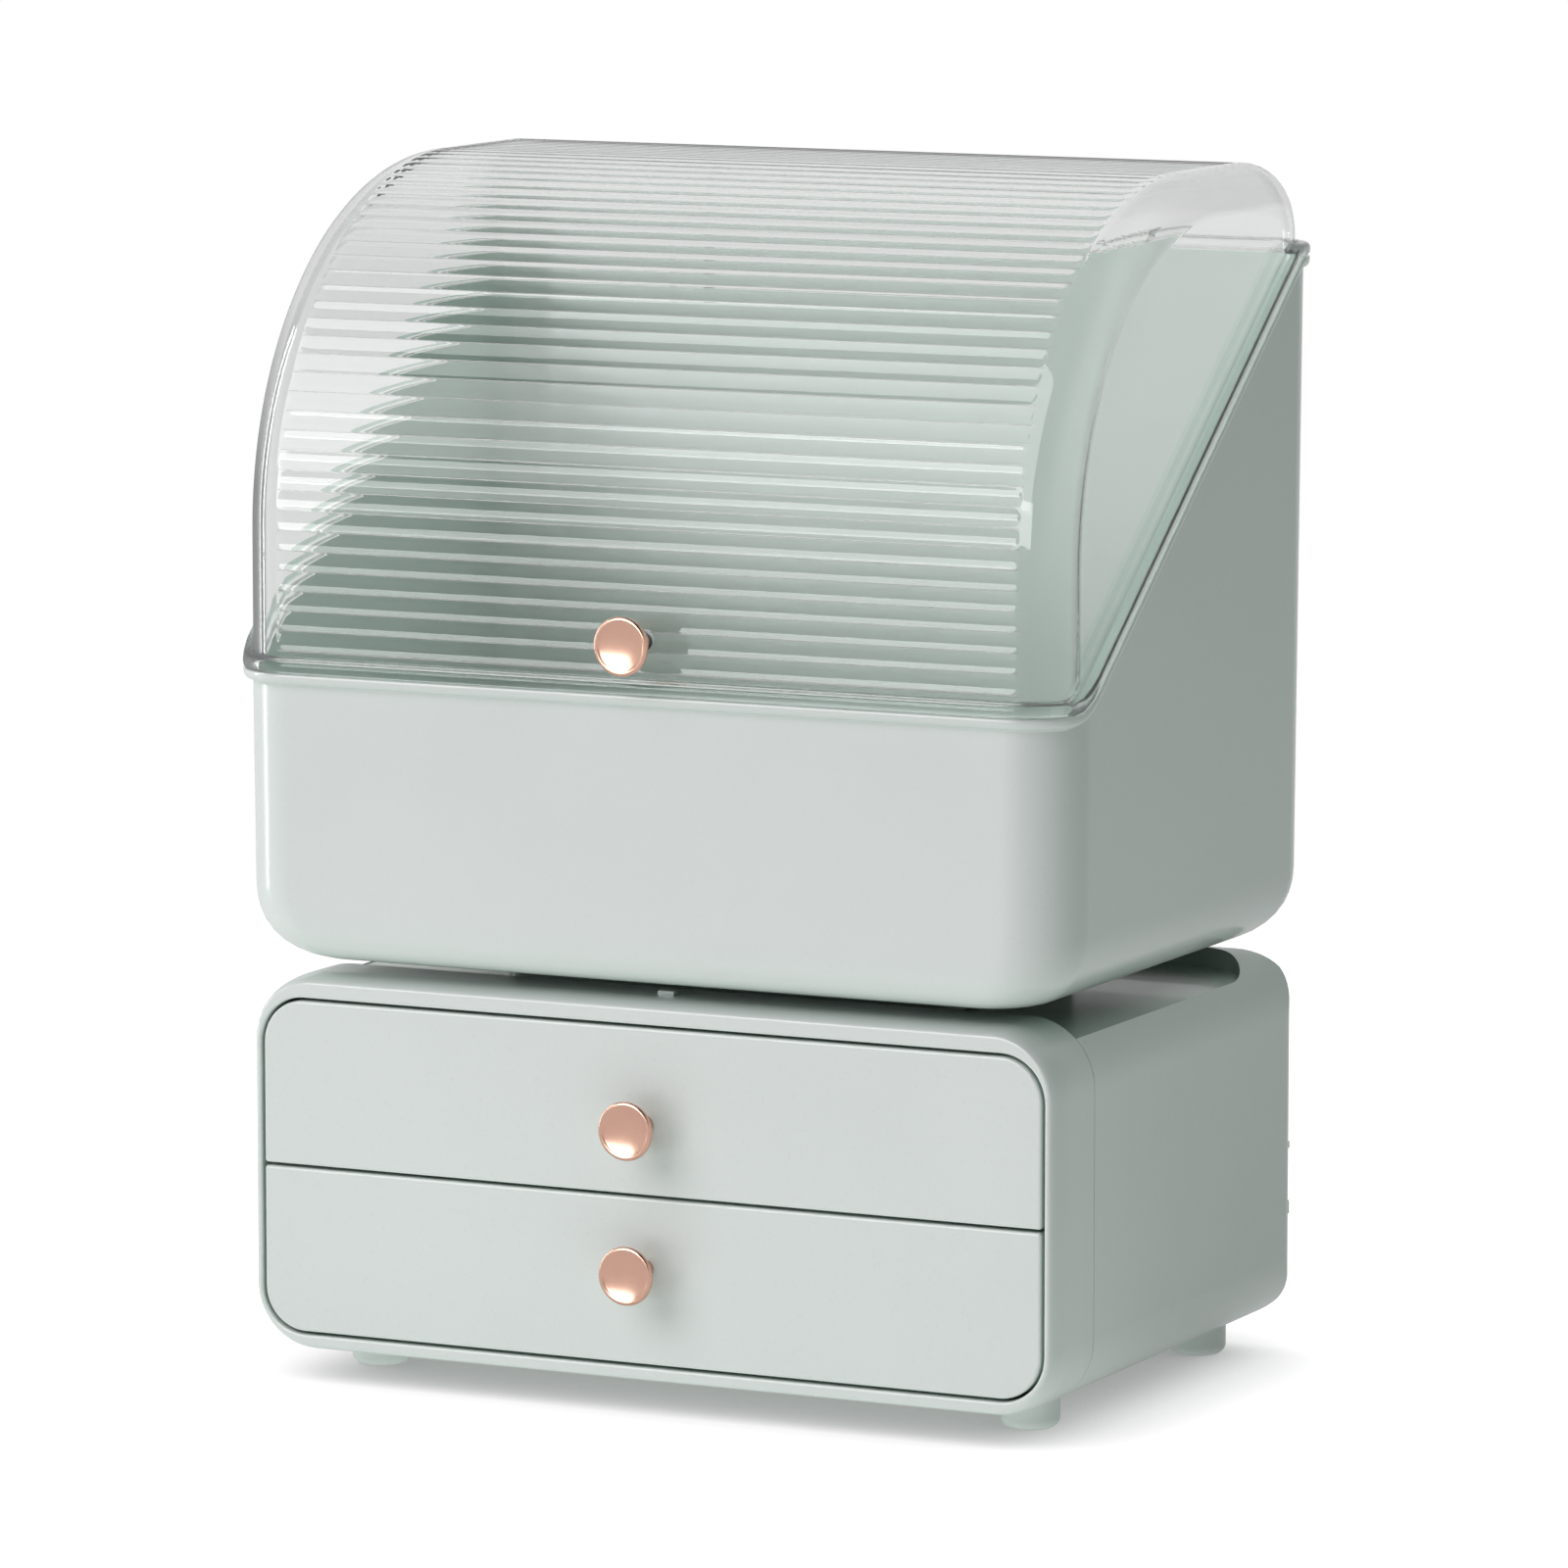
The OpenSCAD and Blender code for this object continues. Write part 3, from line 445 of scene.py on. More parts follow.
def tub_floor_rings(inset):
    """Level rings up the round bottom edge, every side moved in by inset."""
    side_r, front_r = BIN_SIDE_R - inset, BIN_FRONT_R - inset
    rings = []
    for s, c in quarter_round(TUB_STEPS):
        rise, side_in = side_r * (1 - c), side_r * (1 - s)
        front_s = math.sqrt(max(0, 1 - max(0, 1 - rise / front_r) ** 2))
        front_in = front_r * (1 - front_s)
        z = BIN_Z + inset + rise
        half = tub_half(z) - inset - side_in
        corner = BIN_CORNER_R - inset - min(front_in, side_in) / 2
        rings.append([Vector((u, MID_Y + v, z)) for u, v in
                      round_outline(2 * half, BIN_DEPTH - 2 * inset - 2 * front_in, corner)])
    return rings


def rim_ring(out, d):
    """A ring that follows the rim: out beyond the bin's wall, and d above the rim's line."""
    ring = []
    lean = 1 - min(max(out / LIP_OUT, 0), 1)
    for u, v in round_outline(2 * (BIN_BASE_HALF + out), BIN_DEPTH + 2 * out, BIN_CORNER_R + out):
        z = rim_height(MID_Y + v, d)
        shift = (tub_half(z) - BIN_BASE_HALF) * lean + BIN_DRAFT / 2 * (1 - lean)
        ring.append(Vector((u + math.copysign(shift, u), MID_Y + v, z)))
    return ring


LIP_EDGE_IN, LIP_EDGE_DOWN = 0.5, 0.7

lip = [(0, -LIP_TALL - 0.9), (0.12, -LIP_TALL - 0.35), (LIP_EDGE_IN, -LIP_TALL)]
lip += [(LIP_EDGE_IN + (LIP_OUT - LIP_EDGE_IN) * s, -LIP_TALL + (LIP_TALL - LIP_EDGE_DOWN) * (1 - c))
        for s, c in quarter_round(7)[1:]]
lip += [(LIP_OUT - LIP_EDGE_IN * (1 - c), -LIP_EDGE_DOWN * (1 - s)) for s, c in quarter_round(4)[1:]]
lip += [(-BIN_WALL + LIP_EDGE_IN, 0)]
lip += [(-BIN_WALL + LIP_EDGE_IN * (1 - s), -LIP_EDGE_IN * (1 - c)) for s, c in quarter_round(3)[1:]]

bm = bmesh.new()
sweep(bm, tub_floor_rings(0) + [rim_ring(out, d) for out, d in lip] + tub_floor_rings(BIN_WALL)[::-1])
bin_tub = piece("bin_tub", bm, sage_plastic)

PLINTH_HALF, PLINTH_MID_Y, PLINTH_DEPTH, PLINTH_R = 75, 10.45, 90, 8
PLINTH_TOP_Z, PLINTH_FOOT_Z, PLINTH_EDGE, PLINTH_WALL = 126.6, 116.3, 0.4, 2.5


def plinth_ring(inset, z):
    """A level ring of the plinth, moved in by inset."""
    return [Vector((u, PLINTH_MID_Y + v, z)) for u, v in
            round_outline(2 * (PLINTH_HALF - inset), PLINTH_DEPTH - 2 * inset, PLINTH_R - inset)]


bm = bmesh.new()
sweep(bm, [plinth_ring(0, PLINTH_TOP_Z), plinth_ring(0, PLINTH_FOOT_Z + PLINTH_EDGE),
           plinth_ring(PLINTH_EDGE, PLINTH_FOOT_Z), plinth_ring(PLINTH_WALL - PLINTH_EDGE, PLINTH_FOOT_Z),
           plinth_ring(PLINTH_WALL, PLINTH_FOOT_Z + PLINTH_EDGE), plinth_ring(PLINTH_WALL, PLINTH_TOP_Z)],
      closed=True)
bin_plinth = piece("bin_plinth", bm, sage_plastic)

EAR_W, EAR_R, EAR_REACH, EAR_SPREAD = 5, 4, 6.4, 8.9


def extrude_across(bm, verts, width):
    """Fills the outline that verts make and extrudes it by width in x."""
    edges = unique(e for v in verts for e in v.link_edges)
    base = bmesh.ops.edgeloop_fill(bm, edges=edges)["faces"]
    out = bmesh.ops.extrude_face_region(bm, geom=base)["geom"]
    bmesh.ops.translate(bm, vec=(width, 0, 0), verts=only_verts(out))


def ear(bm, x):
    """A block from the wall that ends in a half round about the hinge's line."""
    upright = Matrix.Rotation(math.pi / 2, 4, "Y")
    verts = bmesh.ops.create_circle(bm, segments=32, radius=EAR_R, matrix=upright)["verts"]
    for v in verts:
        if v.co.y < -0.01:
            v.co.z = math.copysign(EAR_R, v.co.z) if abs(v.co.z) > EAR_R * 0.9 else v.co.z
            v.co.y = -EAR_REACH
        v.co += Vector((x - EAR_W / 2, HINGE_Y, HINGE_Z))
    extrude_across(bm, verts, EAR_W)


bm = bmesh.new()
for side in (-1, 1):
    for lean in (-1, 1):
        ear(bm, side * HINGE_X + lean * EAR_SPREAD)
bin_ears = piece("bin_hinge_ears", bm, sage_plastic)
for made in (bin_tub, bin_plinth, bin_ears):
    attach(made, "bin")
    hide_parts("bin")
dress(["hinge_pin_left", "hinge_pin_right"], zinc)

# ---- Lid --------------------------------------------------------------------------------
# The dust cover, one clear moulding that rises from the lip and rolls back over the bin. Fine
# flutes run across its front and top, its sides are smooth, and the flange at its foot sits
# on the bin's lip. Two knuckles behind the flange turn on the hinge pins.

LID_HALF, LID_EDGE_R, LID_WALL = 133.2, 13, 2.2
LID_FLAT_X = LID_HALF - LID_EDGE_R
LID_R, LID_BACK_R = 107, 22
LID_BACK_Y, LID_TOP_Z = 87.55, 359.5
CURVE_Y, CURVE_Z = LID_FACE_Y + LID_R, LID_TOP_Z - LID_R
BACK_CURVE_Y, BACK_CURVE_Z = LID_BACK_Y - LID_BACK_R, LID_TOP_Z - LID_BACK_R
FLANGE_LOW, FLANGE_HIGH = 0.3, 4.7
FLUTE_PITCH, FLUTE_DEPTH, FLUTE_W = 5.92, 0.32, 5.62
FLUTE_R = (FLUTE_W / 2) ** 2 / (2 * FLUTE_DEPTH) + FLUTE_DEPTH / 2
FIRST_FLUTE_Z = LIP_Z + 9.4
FLUTE_END_X = 119.8
FLUTE_ROWS = [-0.5, -0.46, -0.4, -0.3, -0.18, -0.06, 0.06, 0.18, 0.3, 0.4, 0.46]
FLUTE_END_COLUMNS = [1.0, 0.8, 0.62, 0.46, 0.3, 0.2, 0.1, 0.0, -0.08]
FRONT_STEPS, ARC_STEPS, TOP_STEPS, BACK_STEPS = 12, 90, 12, 12


def lid_path():
    """(y, z, outward y, outward z) along the lid's section, from front foot to back foot."""
    foot = LIP_Z + FLANGE_HIGH
    path = []
    for i in range(FRONT_STEPS):
        path.append((LID_FACE_Y, foot + (CURVE_Z - foot) * i / FRONT_STEPS, -1, 0))
    for i in range(ARC_STEPS):
        a = math.pi / 2 * i / ARC_STEPS
        path.append((CURVE_Y - LID_R * math.cos(a), CURVE_Z + LID_R * math.sin(a), -math.cos(a), math.sin(a)))
    for i in range(TOP_STEPS):
        path.append((CURVE_Y + (BACK_CURVE_Y - CURVE_Y) * i / TOP_STEPS, LID_TOP_Z, 0, 1))
    for i in range(BACK_STEPS + 1):
        a = math.pi / 2 * i / BACK_STEPS
        path.append((BACK_CURVE_Y + LID_BACK_R * math.sin(a), BACK_CURVE_Z + LID_BACK_R * math.cos(a),
                     math.sin(a), math.cos(a)))
    path.append((LID_BACK_Y, LAND_Z + FLANGE_HIGH, 1, 0))
    return path


def path_runs(path):
    """Length along the path at each of its points."""
    runs = [0]
    for (y0, z0, _, _), (y1, z1, _, _) in zip(path, path[1:]):
        runs.append(runs[-1] + math.hypot(y1 - y0, z1 - z0))
    return runs


def at_run(path, runs, run):
    """The path's point and outward direction at a length along it."""
    i = next((k for k in range(1, len(runs) - 1) if runs[k] >= run), len(runs) - 1)
    share = (run - runs[i - 1]) / (runs[i] - runs[i - 1])
    return [a + (b - a) * share for a, b in zip(path[i - 1], path[i])]


def flute_sink(run, x):
    """How deep the flutes are at a length past the first one's middle, x from the lid's middle."""
    off = run - round(run / FLUTE_PITCH) * FLUTE_PITCH
    past = max(0, abs(x) - FLUTE_END_X + FLUTE_W / 2)
    return max(0, FLUTE_DEPTH - FLUTE_R + math.sqrt(max(0, FLUTE_R ** 2 - off ** 2 - past ** 2)))


lid_section = lid_path()
section_runs = path_runs(lid_section)
top_end = section_runs[-BACK_STEPS - 2]
first_flute = FIRST_FLUTE_Z - LIP_Z - FLANGE_HIGH
flute_count = int((top_end - first_flute) / FLUTE_PITCH - 0.5) + 1

outer_runs = [0, 0.6 * (first_flute - FLUTE_PITCH / 2)]
for flute in range(flute_count):
    outer_runs += [first_flute + (flute + row) * FLUTE_PITCH for row in FLUTE_ROWS]
fluted_end = first_flute + (flute_count - 0.5) * FLUTE_PITCH
outer_runs += [fluted_end, fluted_end + 0.2]
outer_runs += [run for run in section_runs if run > fluted_end + 1]

across = [FLUTE_END_X - FLUTE_W / 2 * share for share in FLUTE_END_COLUMNS]
across += [LID_FLAT_X + LID_EDGE_R * s for s, c in quarter_round(9)[1:]]
half_columns = [(x, LID_EDGE_R - math.sqrt(LID_EDGE_R ** 2 - max(x - LID_HALF + LID_EDGE_R, 0) ** 2))
                for x in across]
columns = [(-x, inset) for x, inset in half_columns[::-1]] + half_columns


def lid_point(run, x, inset, wall, fluted):
    """A point of the lid's skin, wall deep under its face."""
    y, z, out_y, out_z = at_run(lid_section, section_runs, run)
    deep = inset + wall
    if fluted and first_flute - FLUTE_PITCH / 2 < run < fluted_end:
        deep += flute_sink(run - first_flute, x)
    return Vector((x, y - out_y * deep, z - out_z * deep))


FOOT_ROWS, FOOT_ROW_GAP = 40, 0.03
RIDGE_SHARE = 0.49
# The roll values set where painted shade goes on the lid's rolled edges: less towards the top, faint on the
# flat sides.
ROLL_TOP_Z, ROLL_FADE, ROLL_LEAST, ROLL_RISE, FLAT_ROLL = 335, 70, 0.2, 4, 0.05
SIDE_SPOTS = [72.4, 60, 30, 0, -30, -60]


def mark_ridges(spots, rows):
    """Marks the rows between two flutes, as far as the flutes run."""
    for run, row in zip(spots, rows):
        part = (run - first_flute) / FLUTE_PITCH
        if run <= fluted_end and abs(part - round(part)) > RIDGE_SHARE:
            for v in row:
                if abs(v.co.x) < FLUTE_END_X:
                    v[ridge] = 1


def lid_skin(bm, wall, d, spots, fluted):
    """One skin of the lid, the rolled sheet and then its flat sides, wall deep under its face.
    Its foot lies d above the rim's line, and is returned."""
    grid = bmesh.ops.create_grid(bm, x_segments=len(columns) - 1, y_segments=len(spots) - 1, size=1)["verts"]
    grid.sort(key=lambda v: (round(v.co.y, 5), round(v.co.x, 5)))
    rows = [grid[i * len(columns):(i + 1) * len(columns)] for i in range(len(spots))]
    shrink = (LID_EDGE_R - wall) / LID_EDGE_R
    for run, row in zip(spots, rows):
        for (x, inset), v in zip(columns, row):
            skin_x = min(abs(x), LID_FLAT_X) + max(0, abs(x) - LID_FLAT_X) * shrink
            v.co = lid_point(run, math.copysign(skin_x, x), inset * shrink, wall, fluted)
    for v in rows[0] + rows[-1]:
        v.co.z = rim_height(v.co.y, d)
    for i, row in enumerate(rows[1:FOOT_ROWS], 1):
        for v in row:
            v.co.z = max(v.co.z, rim_height(v.co.y, d) + FOOT_ROW_GAP * i)
    # The ridge marks set where the material paints highlight and shade on the flutes' ridges.
    if fluted:
        mark_ridges(spots, rows)
    # roll: the share of painted shade on the rolled edges, fading towards the top.
    for row in rows:
        for (x, _), v in zip(columns, row):
            below_top = min(1, max(ROLL_LEAST, (ROLL_TOP_Z - v.co.z) / ROLL_FADE))
            v[roll] = below_top * min(1, ROLL_RISE * max(0, abs(x) - LID_FLAT_X) / LID_EDGE_R)
            v[roll] = FLAT_ROLL if abs(x) > LID_HALF - 0.01 else v[roll]
    foot = [rows[0], rows[-1]]
    for side in (0, -1):
        last = rows[-1][side]
        chain = [last]
        for y in SIDE_SPOTS:
            made = bmesh.ops.extrude_vert_indiv(bm, verts=[chain[-1]])["verts"][0]
            made.co = Vector((last.co.x, y, rim_height(y, d)))
            made[roll] = FLAT_ROLL
            chain.append(made)
        chain.append(rows[0][side])
        bmesh.ops.contextual_create(bm, geom=chain[-2:])
        ring = chain + [row[side] for row in rows[1:-1]]
        around = set(ring)
        edges = unique(e for v in ring for e in v.link_edges
                       if e.other_vert(v) in around and len(e.link_faces) < 2)
        bmesh.ops.edgeloop_fill(bm, edges=edges)
        foot.append(chain[1:-1])
    return foot


bm = bmesh.new()
spot = bm.verts.layers.int.new("spot")
ridge = bm.verts.layers.float.new("ridge")
roll = bm.verts.layers.float.new("roll")
outer_foot = lid_skin(bm, 0, FLANGE_HIGH, outer_runs, True)
inner_foot = lid_skin(bm, LID_WALL, FLANGE_LOW, section_runs, False)

FLANGE = [(0.08, FLANGE_HIGH), (0.2, 4.45), (0.32, 4.1), (0.72, 3.95), (0.87, 3.65), (0.96, 3.1),
          (0.985, 2.3), (0.97, 1.4), (0.92, 0.75), (0.82, 0.4), (0.62, FLANGE_LOW)]


def plan_spread(co, share):
    """Moves a point of the lid's foot a share of the way out to the outline of the bin's rim."""
    half, r = BIN_BASE_HALF + BIN_DRAFT / 2 + RIM_OUT, BIN_CORNER_R + RIM_OUT
    flat_y0, flat_y1 = LID_FACE_Y + LID_EDGE_R, LID_BACK_Y - LID_EDGE_R
    y0, y1 = MID_Y - BIN_DEPTH / 2 - RIM_OUT + r, MID_Y + BIN_DEPTH / 2 + RIM_OUT - r
    dx = max(abs(co.x) - LID_FLAT_X, 0)
    dy = min(co.y - flat_y0, 0) + max(co.y - flat_y1, 0)
    length = math.hypot(dx, dy) or 1
    x = min(abs(co.x), LID_FLAT_X) * (half - r) / LID_FLAT_X + dx / length * r
    core_y = min(max(co.y, flat_y0), flat_y1)
    y = y0 + (core_y - flat_y0) * (y1 - y0) / (flat_y1 - flat_y0) + dy / length * r
    return co.x + (math.copysign(x, co.x) - co.x) * share, co.y + (y - co.y) * share


def flange_loops(bm, foot, rings):
    """Extrudes the outer foot through the flange's section. Returns the last ring's edges."""
    verts = unique(v for part in foot for v in part)
    homes = [v.co.copy() for v in verts]
    for i, v in enumerate(verts):
        v[spot] = i
    edges = unique(e for v in verts for e in v.link_edges if len(e.link_faces) == 1)
    for share, d in rings:
        verts = only_verts(bmesh.ops.extrude_edge_only(bm, edges=edges)["geom"])
        for v in verts:
            x, y = plan_spread(homes[v[spot]], share)
            v.co = Vector((x, y, rim_height(y, d)))
        fresh = set(verts)
        edges = unique(e for v in verts for e in v.link_edges if e.other_vert(v) in fresh)
    return edges


last_edges = flange_loops(bm, outer_foot, FLANGE)
inner_edges = unique(e for part in inner_foot for v in part for e in v.link_edges if len(e.link_faces) == 1)
bmesh.ops.bridge_loops(bm, edges=last_edges + inner_edges)


def blend(tree, share, first, second):
    """The colour first where share is 0, and second where it is 1."""
    made = add_node(tree, "ShaderNodeMix", {"data_type": "RGBA"})
    for target, value in ((0, share), (6, first), (7, second)):
        feed(tree, made.inputs[target], value)
    return made.outputs[2]


def mix_shaders(tree, share, first, second):
    """The shader first where share is 0, and second where it is 1."""
    made = add_node(tree, "ShaderNodeMixShader")
    for target, value in zip(made.inputs, (share, first, second)):
        feed(tree, target, value)
    return made.outputs[0]


def smooth_step(tree, value, start, end, low=0.0, high=1.0):
    """The value's way from start to end, as a smooth change from low to high."""
    return add_node(tree, "ShaderNodeMapRange", {"interpolation_type": "SMOOTHSTEP"}, Value=value,
                    From_Min=start, From_Max=end, To_Min=low, To_Max=high).outputs[0]


# Painted shade and highlight on the flutes' ridges: a darker tint and a pale diffuse layer.
CREST_PAINTED_SHADE, CREST_ROUGHNESS = (0.5, 0.53, 0.52, 1), 0.22
PAINTED_CREST_SHARE, PAINTED_CREST_COLOR = 0.4, (0.95, 0.97, 0.96, 1)
# Painted shade: a dark diffuse layer on the lid's rolled edges, strongest where they turn away from the eye.
PAINTED_EDGE_SHADE_SHARE, PAINTED_EDGE_SHADE_COLOR = 0.95, (0.2, 0.235, 0.22, 1)
RIPPLE_SIZE, RIPPLE_DEPTH, RIPPLE_STRENGTH = 120.0, 0.00002, 0.15
ACRYLIC_IOR, GRAZE_START, GRAZE_END = 1.49, 0.25, 0.62
SHADOW_TINT = (0.955, 0.965, 0.96, 1)


def clear_plastic(name, color, roughness):
    """Clear acrylic that lets the lamps' light through, with painted shade on its rolled edges and a painted
    highlight and shade on its ridges.
    """
    made, shader, pattern = patterned(name, MOULDED, RIPPLE_STRENGTH, RIPPLE_DEPTH, Color=color, Tone=0.004,
                                      Fleck=0.0, Roughness=roughness, Peel_size=RIPPLE_SIZE)
    tree = made.node_tree
    facing = add_node(tree, "ShaderNodeLayerWeight", Blend=0.5).outputs["Facing"]
    rolled = add_node(tree, "ShaderNodeAttribute", {"attribute_name": "roll"}).outputs["Fac"]
    # Where the rolled edges turn away from the eye, the material paints shade on them.
    edge_shade_mask = calc(tree, "MULTIPLY", smooth_step(tree, facing, GRAZE_START, GRAZE_END), rolled)
    crest = add_node(tree, "ShaderNodeAttribute", {"attribute_name": "ridge"}).outputs["Fac"]
    crest_roughness = calc(tree, "MULTIPLY_ADD", crest, CREST_ROUGHNESS, pattern.outputs["Roughness"])
    feed(tree, shader.inputs["Base Color"], blend(tree, crest, pattern.outputs["Color"], CREST_PAINTED_SHADE))
    feed(tree, shader.inputs["Roughness"], crest_roughness)
    shader.inputs["Transmission Weight"].default_value = 1
    shader.inputs["IOR"].default_value = ACRYLIC_IOR
    # The diffuse layer is painted light: pale on the ridges as a painted highlight, dark on the rolled edges
    # as painted shade.
    painted_light_color = blend(tree, crest, PAINTED_EDGE_SHADE_COLOR, PAINTED_CREST_COLOR)
    painted_light = add_node(tree, "ShaderNodeBsdfDiffuse", Color=painted_light_color)
    edge_shade_share = calc(tree, "MULTIPLY", edge_shade_mask, PAINTED_EDGE_SHADE_SHARE)
    crest_paint_share = calc(tree, "MULTIPLY", crest, PAINTED_CREST_SHARE)
    painted_light_share = calc(tree, "MAXIMUM", edge_shade_share, crest_paint_share)
    with_painted_light = mix_shaders(tree, painted_light_share, shader.outputs[0], painted_light.outputs[0])
    through = add_node(tree, "ShaderNodeBsdfTransparent", Color=SHADOW_TINT)
    rays = add_node(tree, "ShaderNodeLightPath")
    surface = mix_shaders(tree, rays.outputs["Is Shadow Ray"], with_painted_light, through.outputs[0])
    feed(tree, tree.nodes["Material Output"].inputs["Surface"], surface)
    return made


clear = clear_plastic("Clear plastic", (0.985, 0.992, 0.988, 1), roughness=0.015)
clear_flange = clear_plastic("Clear plastic flange", (0.84, 0.90, 0.875, 1), roughness=0.12)
FLANGE_PAST = 0.2

for face in bm.faces:
    x, y, _ = face.calc_center_median()
    if abs(x) > LID_HALF + FLANGE_PAST or y < LID_FACE_Y - FLANGE_PAST or y > LID_BACK_Y + FLANGE_PAST:
        face.material_index = 1
lid_cover = piece("lid_cover", bm, clear, crease=50)
lid_cover.data.materials.append(clear_flange)
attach(lid_cover, "lid")
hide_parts("lid")

KNUCKLE_W, KNUCKLE_FRONT, KNUCKLE_NOTCH = 12, -3.2, -2
KNUCKLE_TOP, FLANGE_FOOT = LAND_Z + FLANGE_HIGH - 0.6 - HINGE_Z, LAND_Z + 0.6 - HINGE_Z
knuckle = arc(0, 0, EAR_R, 120, 270, 20)
knuckle += [(EAR_R, -EAR_R), (EAR_R, KNUCKLE_TOP), (KNUCKLE_FRONT, KNUCKLE_TOP)]
knuckle += [(KNUCKLE_FRONT, FLANGE_FOOT), (KNUCKLE_NOTCH, FLANGE_FOOT)]

bm = bmesh.new()
for side in (-1, 1):
    verts = bmesh.ops.create_circle(bm, segments=len(knuckle), radius=1)["verts"]
    for v, (y, z) in zip(verts, knuckle):
        v.co = Vector((side * HINGE_X - KNUCKLE_W / 2, HINGE_Y + y, HINGE_Z + z))
    extrude_across(bm, verts, KNUCKLE_W)
lid_knuckles = piece("lid_knuckles", bm, clear, weighted=False)
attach(lid_knuckles, "lid")
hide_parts("lid")

# ---- Studio -----------------------------------------------------------------------------
# A white table top that keeps the soft shadow and fades into a white room. Close to the object
# it has a painted contact shadow, and it glows, brighter in front, as painted light on the
# object from below. A large lamp, with a low one under it, lights from the front left, a faint
# one from the back right, and a tall strip from the left. Two more show only in reflections,
# as a glint and a sheen.


def path_to_eye(tree):
    """1 for rays that the eye follows straight, by reflections or through glass."""
    rays = add_node(tree, "ShaderNodeLightPath").outputs
    first = calc(tree, "MAXIMUM", rays["Is Camera Ray"], rays["Is Glossy Ray"])
    both = calc(tree, "MAXIMUM", first, rays["Is Transmission Ray"])
    straight = calc(tree, "LESS_THAN", rays["Diffuse Depth"], 0.5)
    return calc(tree, "MULTIPLY", both, straight)


ROOM_LIGHT, ROOM_STRENGTH = (0.93, 1.0, 0.97, 1), 0.03
DUSK_TOWARDS, DUSK_START, DUSK_END, DUSK_LOSS = (0.0, -0.55, 0.83), 0.35, 0.95, 0.8
MIRRORED_ROOM_LOSS, MIRRORED_TABLE_LOSS = 0.2, 0.5

room = bpy.data.worlds.new("White room")
bpy.context.scene.world = room
room.cycles.sampling_method = "NONE"
room.use_nodes = True
tree = room.node_tree
dim = tree.nodes["Background"]
dim.inputs["Color"].default_value = ROOM_LIGHT
dim.inputs["Strength"].default_value = ROOM_STRENGTH
lean = add_node(tree, "ShaderNodeVectorMath", {"operation": "DOT_PRODUCT"})
feed(tree, lean.inputs[0], add_node(tree, "ShaderNodeTexCoord").outputs["Generated"])
lean.inputs[1].default_value = DUSK_TOWARDS
dusk = smooth_step(tree, lean.outputs["Value"], DUSK_START, DUSK_END, 0.0, DUSK_LOSS)
mirrored = add_node(tree, "ShaderNodeLightPath").outputs["Is Glossy Ray"]
mirrored_dusk = calc(tree, "MULTIPLY", dusk, mirrored)
level = calc(tree, "MULTIPLY_ADD", mirrored, -MIRRORED_ROOM_LOSS, 1.0)
level = calc(tree, "SUBTRACT", level, mirrored_dusk, use_clamp=True)
white = add_node(tree, "ShaderNodeBackground", Color=(1, 1, 1, 1), Strength=level)
surface = mix_shaders(tree, path_to_eye(tree), dim.outputs[0], white.outputs[0])
feed(tree, tree.nodes["World Output"].inputs["Surface"], surface)

TABLE_HALF, FADE_START, FADE_END = 2, 0.5, 1.1
# The reach of the painted contact shadow on the table, and the level added to it.
PAINTED_SHADOW_REACH, PAINTED_SHADOW_OFFSET = 0.055, 0.2
# The table's painted glow, which lights the object from below: dim behind it and brighter in front.
POOL_BACK_Y, POOL_FRONT_Y, POOL_DIM, POOL_BRIGHT = 0.02, -0.14, 0.5, 1.1
POOL_COLOR, SEEN_COLOR = (1.0, 0.95, 0.97, 1), (1, 1, 1, 1)

bm = bmesh.new()
bmesh.ops.create_grid(bm, x_segments=1, y_segments=1, size=TABLE_HALF)
table_mesh = bpy.data.meshes.new("table_top")
bm.to_mesh(table_mesh)
bm.free()
table_top = bpy.data.objects.new("table_top", table_mesh)
bpy.context.scene.collection.objects.link(table_top)

table_white = bpy.data.materials.new("Table white")
table_white.use_nodes = True
tree = table_white.node_tree
shader = tree.nodes["Principled BSDF"]
shader.inputs["Base Color"].default_value = (0.3, 0.3, 0.3, 1)
shader.inputs["Roughness"].default_value = 0.9
shader.inputs["Specular IOR Level"].default_value = 0.0
place = add_node(tree, "ShaderNodeTexCoord").outputs["Object"]
# Painted contact shadow: ambient occlusion darkens the table as the eye sees it, close to the object.
painted_shadow = add_node(tree, "ShaderNodeAmbientOcclusion", {"samples": 12}, Distance=PAINTED_SHADOW_REACH).outputs["AO"]
mirrored = add_node(tree, "ShaderNodeLightPath").outputs["Is Glossy Ray"]
seen_level = calc(tree, "MULTIPLY", calc(tree, "ADD", painted_shadow, PAINTED_SHADOW_OFFSET),
                  calc(tree, "MULTIPLY_ADD", mirrored, -MIRRORED_TABLE_LOSS, 1.0))
depth = add_node(tree, "ShaderNodeSeparateXYZ", Vector=place).outputs["Y"]
# Painted glow: to rays that don't lead to the eye, the table glows, brighter in front of the object.
glow_pool = smooth_step(tree, depth, POOL_BACK_Y, POOL_FRONT_Y, POOL_DIM, POOL_BRIGHT)
lift = add_node(tree, "ShaderNodeMix", {"data_type": "FLOAT"})
for target, value in ((0, path_to_eye(tree)), (2, glow_pool), (3, seen_level)):
    feed(tree, lift.inputs[target], value)
hue = blend(tree, path_to_eye(tree), POOL_COLOR, SEEN_COLOR)
glow = add_node(tree, "ShaderNodeEmission", Color=hue, Strength=lift.outputs[0])
lit = add_node(tree, "ShaderNodeAddShader")
feed(tree, lit.inputs[0], shader.outputs[0])
feed(tree, lit.inputs[1], glow.outputs[0])
far = add_node(tree, "ShaderNodeVectorMath", {"operation": "LENGTH"})
feed(tree, far.inputs[0], place)
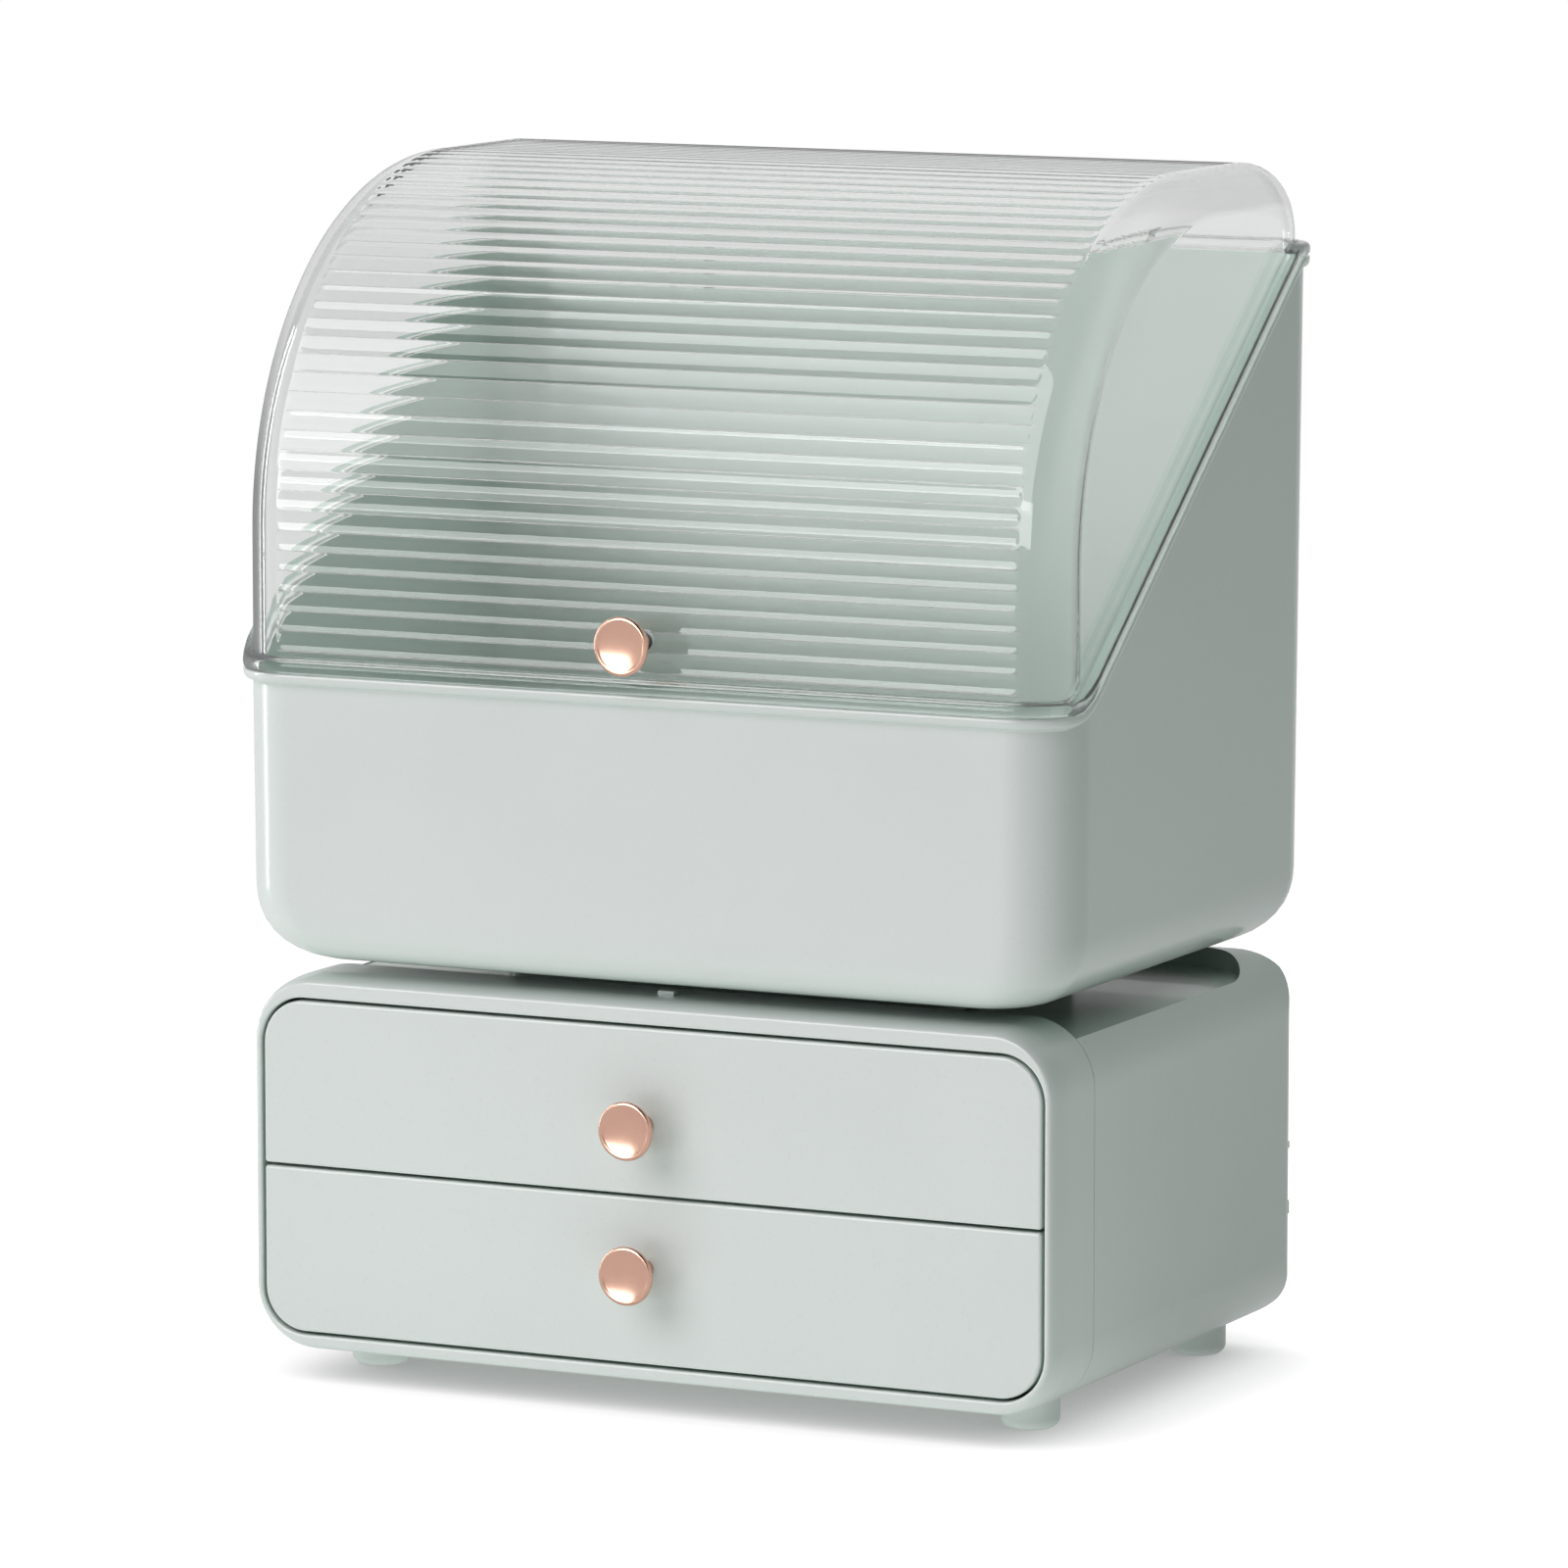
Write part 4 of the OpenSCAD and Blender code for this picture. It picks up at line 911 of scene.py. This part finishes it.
fade = smooth_step(tree, far.outputs["Value"], FADE_START, FADE_END)
gone = add_node(tree, "ShaderNodeBsdfTransparent")
surface = mix_shaders(tree, fade, lit.outputs[0], gone.outputs[0])
feed(tree, tree.nodes["Material Output"].inputs["Surface"], surface)
table_mesh.materials.append(table_white)


def lamp(name, spot, aim, width, height, power, color):
    """A rectangular soft lamp at spot, turned towards aim."""
    data = bpy.data.lights.new(name, "AREA")
    data.shape = "RECTANGLE"
    data.size, data.size_y = width, height
    data.energy = power
    data.color = color
    made = bpy.data.objects.new(name, data)
    made.location = spot
    made.rotation_euler = (Vector(aim) - Vector(spot)).to_track_quat("-Z", "Y").to_euler()
    bpy.context.scene.collection.objects.link(made)
    return made


key = lamp("Key lamp", spot=(-0.87, -1.95, 1.67), aim=(0, 0, 0.17), width=2.0, height=2.0, power=50,
           color=(1.0, 0.82, 0.91))
low = lamp("Low lamp", spot=(-0.35, -2.2, 0.02), aim=(0, 0, 0.15), width=1.6, height=0.5, power=9,
           color=(1.0, 0.82, 0.92))
lamp("Strip lamp", spot=(-1.35, -0.25, 0.5), aim=(0, 0, 0.2), width=0.12, height=1.2, power=6.0,
     color=(1, 1, 1))
fill = lamp("Fill lamp", spot=(0.95, 0.6, 1.25), aim=(0, 0, 0.17), width=0.9, height=0.7, power=4,
            color=(0.90, 1.0, 0.95))
glint = lamp("Glint lamp", spot=(-0.64, -2.22, 0.62), aim=(0, 0, 0.25), width=1.6, height=0.55, power=18,
             color=(1, 1, 1))
sheen = lamp("Sheen lamp", spot=(-0.82, -1.95, 1.67), aim=(0, 0, 0.17), width=1.9, height=2.0, power=47,
             color=(1.0, 1.0, 1.0))
for mirrored_lamp in (glint, sheen):
    mirrored_lamp.visible_diffuse = False
for unmirrored_lamp in (key, low, fill):
    unmirrored_lamp.visible_glossy = False
for outer_lamp in (key, low, glint, sheen, fill):
    outer_lamp.visible_transmission = False

eye = bpy.data.cameras.new("Eye")
eye.sensor_width = 36
eye.lens = 213.98
camera = bpy.data.objects.new("Eye", eye)
camera.location = (1.2068, -2.46645, 0.5533)
camera.rotation_euler = (math.radians(90 - 7.8433), 0, math.radians(26.0255))
bpy.context.scene.collection.objects.link(camera)
bpy.context.scene.camera = camera
bpy.context.scene.view_settings.view_transform = "Standard"
bpy.context.scene.cycles.max_bounces = 24
bpy.context.scene.cycles.transmission_bounces = 24
bpy.context.scene.cycles.glossy_bounces = 12
